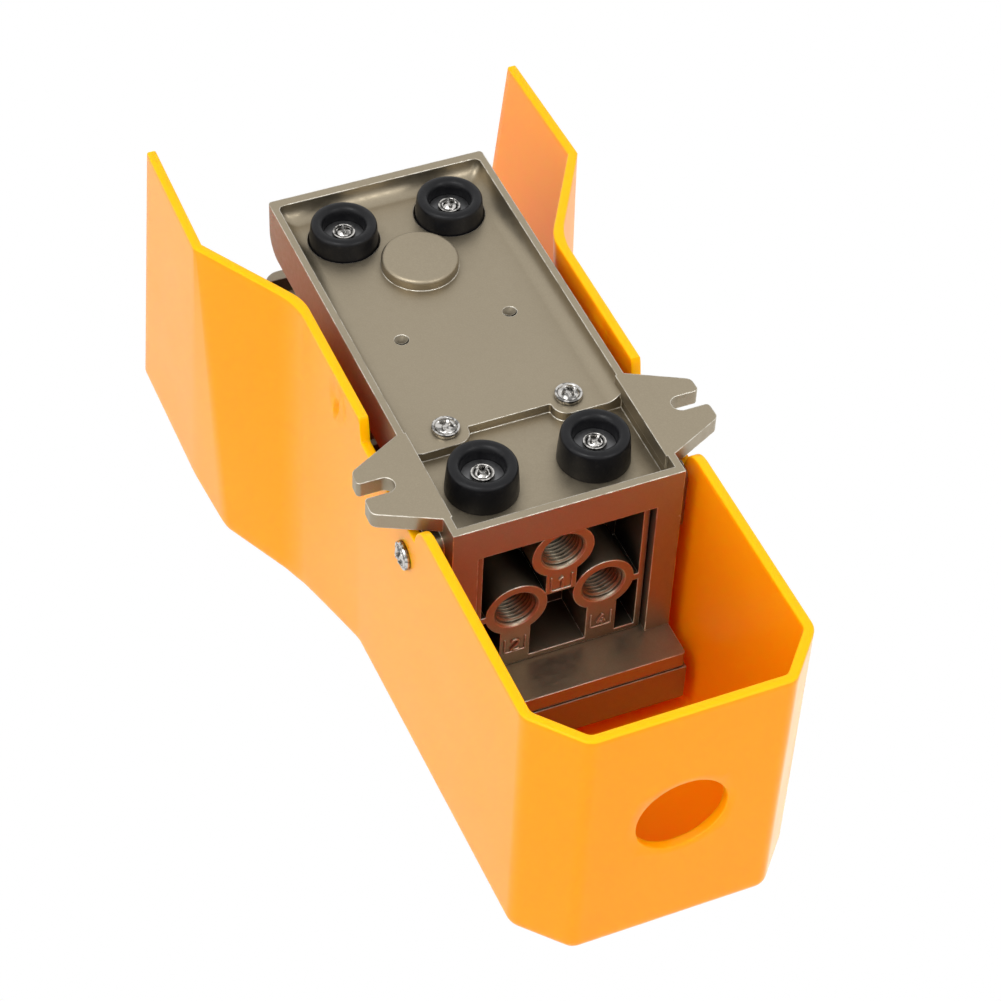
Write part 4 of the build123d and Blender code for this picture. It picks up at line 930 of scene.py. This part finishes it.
class VALVE_OT_springs(bpy.types.Operator):
    """Makes the pedal spring and the spool spring with flat end turns"""
    bl_idname = "valve.springs"
    bl_label = "Springs"

    def execute(self, context):
        springs = {"pedal_spring": ((18.0, 2.0, 9.0), (0.0, -50.5), "pedal_hinge", 0.68),
                   "spool_spring": ((7.8, 1.1, 8.0), (0.0, 28.0), "spool_slide", 0.738)}
        for node, ((diameter, wire, turns), (x, y), joint, keep) in springs.items():
            low, high = (corner[2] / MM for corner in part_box(node))
            points, quads = coil_surface(diameter, wire, low, high, turns)
            mesh = mesh_from(node + "_coil", points + np.array([x, y, 0.0]), quads, 60.0)
            piece = place_piece(node + "_coil", mesh, "base", [finish_for("spring")], [node])
            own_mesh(piece)
        return {"FINISHED"}


class VALVE_OT_stage(bpy.types.Operator):
    """Sets the floor, soft lamps, white surroundings and the camera below the floor"""
    bl_idname = "valve.stage"
    bl_label = "Stage"

    def execute(self, context):
        studio = context.scene.valve_studio
        scene = context.scene
        scene.view_settings.view_transform = "Standard"
        half = FLOOR_HALF
        corners = [(-half, -half, 0), (half, -half, 0), (half, half, 0), (-half, half, 0)]
        mesh = bpy.data.meshes.new("floor")
        mesh.from_pydata(corners, [], [(0, 1, 2, 3)])
        floor = bpy.data.objects.new("floor", mesh)
        scene.collection.objects.link(floor)
        mesh.materials.append(floor_finish())
        for ray in ("shadow", "diffuse", "glossy", "transmission", "volume_scatter"):
            setattr(floor, "visible_" + ray, False)
        self.surround(scene, studio.world)
        middle = Vector((0, 0, 0.06))
        soft_lamp("key_lamp", (-0.70, 0.35, -1.15), middle, studio.key, 0.7)
        soft_lamp("side_lamp", (-1.3, 0.1, -0.35), middle, studio.fill, 0.8)
        soft_lamp("rear_lamp", (0.55, 1.2, -0.95), middle, 2 * studio.fill, 0.4)
        soft_lamp("top_lamp", (0.7, -0.3, 1.3), middle, studio.fill, 0.9)
        self.camera(scene, studio.lens)
        return {"FINISHED"}

    def surround(self, scene, strength):
        """An even white world."""
        world = bpy.data.worlds.new("white_room")
        scene.world = world
        world.use_nodes = True
        background = world.node_tree.nodes["Background"]
        background.inputs["Color"].default_value = (1, 1, 1, 1)
        background.inputs["Strength"].default_value = strength

    def camera(self, scene, lens):
        """The camera at the photograph's place, below the floor and looking up."""
        data = bpy.data.cameras.new("photo_camera")
        data.lens = lens
        data.sensor_width = 36.0
        data.clip_start, data.clip_end = 0.02, 20.0
        camera = bpy.data.objects.new("photo_camera", data)
        scene.collection.objects.link(camera)
        turn = Matrix((CAMERA_RIGHT, CAMERA_UP, CAMERA_BACK)).transposed().to_4x4()
        camera.matrix_world = Matrix.Translation(CAMERA_PLACE) @ turn
        scene.camera = camera


def soft_lamp(name, place, target, power, size):
    """A square lamp at a place that faces the target."""
    data = bpy.data.lights.new(name, "AREA")
    data.energy = power
    data.size = size
    lamp = bpy.data.objects.new(name, data)
    bpy.context.scene.collection.objects.link(lamp)
    lamp.location = place
    lamp.rotation_euler = (Vector(place) - target).to_track_quat("Z", "Y").to_euler()


class VALVE_PT_panel(bpy.types.Panel):
    """Lists the foot valve's settings and pieces"""
    bl_label = "Foot valve"
    bl_idname = "VALVE_PT_panel"
    bl_space_type = "VIEW_3D"
    bl_region_type = "UI"
    bl_category = "Foot valve"

    def draw(self, context):
        layout = self.layout
        for group in ("valve_sizes", "valve_colours", "valve_studio"):
            settings = getattr(context.scene, group)
            for key in settings.bl_rna.properties.keys():
                if key not in ("rna_type", "name"):
                    layout.prop(settings, key)
        for operator in OPERATORS:
            layout.operator(operator.bl_idname)


OPERATORS = (VALVE_OT_finishes, VALVE_OT_guard, VALVE_OT_feet, VALVE_OT_dimples, VALVE_OT_screws,
             VALVE_OT_ports, VALVE_OT_springs, VALVE_OT_stage)
SETTINGS = {"valve_colours": ValveColours, "valve_sizes": ValveSizes, "valve_studio": ValveStudio}


def register():
    """Adds the settings, operators and panel."""
    for name, group in SETTINGS.items():
        bpy.utils.register_class(group)
        setattr(bpy.types.Scene, name, bpy.props.PointerProperty(type=group))
    for item in OPERATORS + (VALVE_PT_panel,):
        bpy.utils.register_class(item)


def unregister():
    """Takes the panel, operators and settings away again."""
    for item in (VALVE_PT_panel,) + OPERATORS[::-1]:
        bpy.utils.unregister_class(item)
    for name, group in SETTINGS.items():
        delattr(bpy.types.Scene, name)
        bpy.utils.unregister_class(group)


def main():
    """Makes every piece and the stage."""
    register()
    bpy.ops.valve.finishes()
    bpy.ops.valve.guard()
    bpy.ops.valve.feet()
    bpy.ops.valve.dimples()
    bpy.ops.valve.screws()
    bpy.ops.valve.ports()
    bpy.ops.valve.springs()
    bpy.ops.valve.stage()


if __name__ == "__main__":
    main()
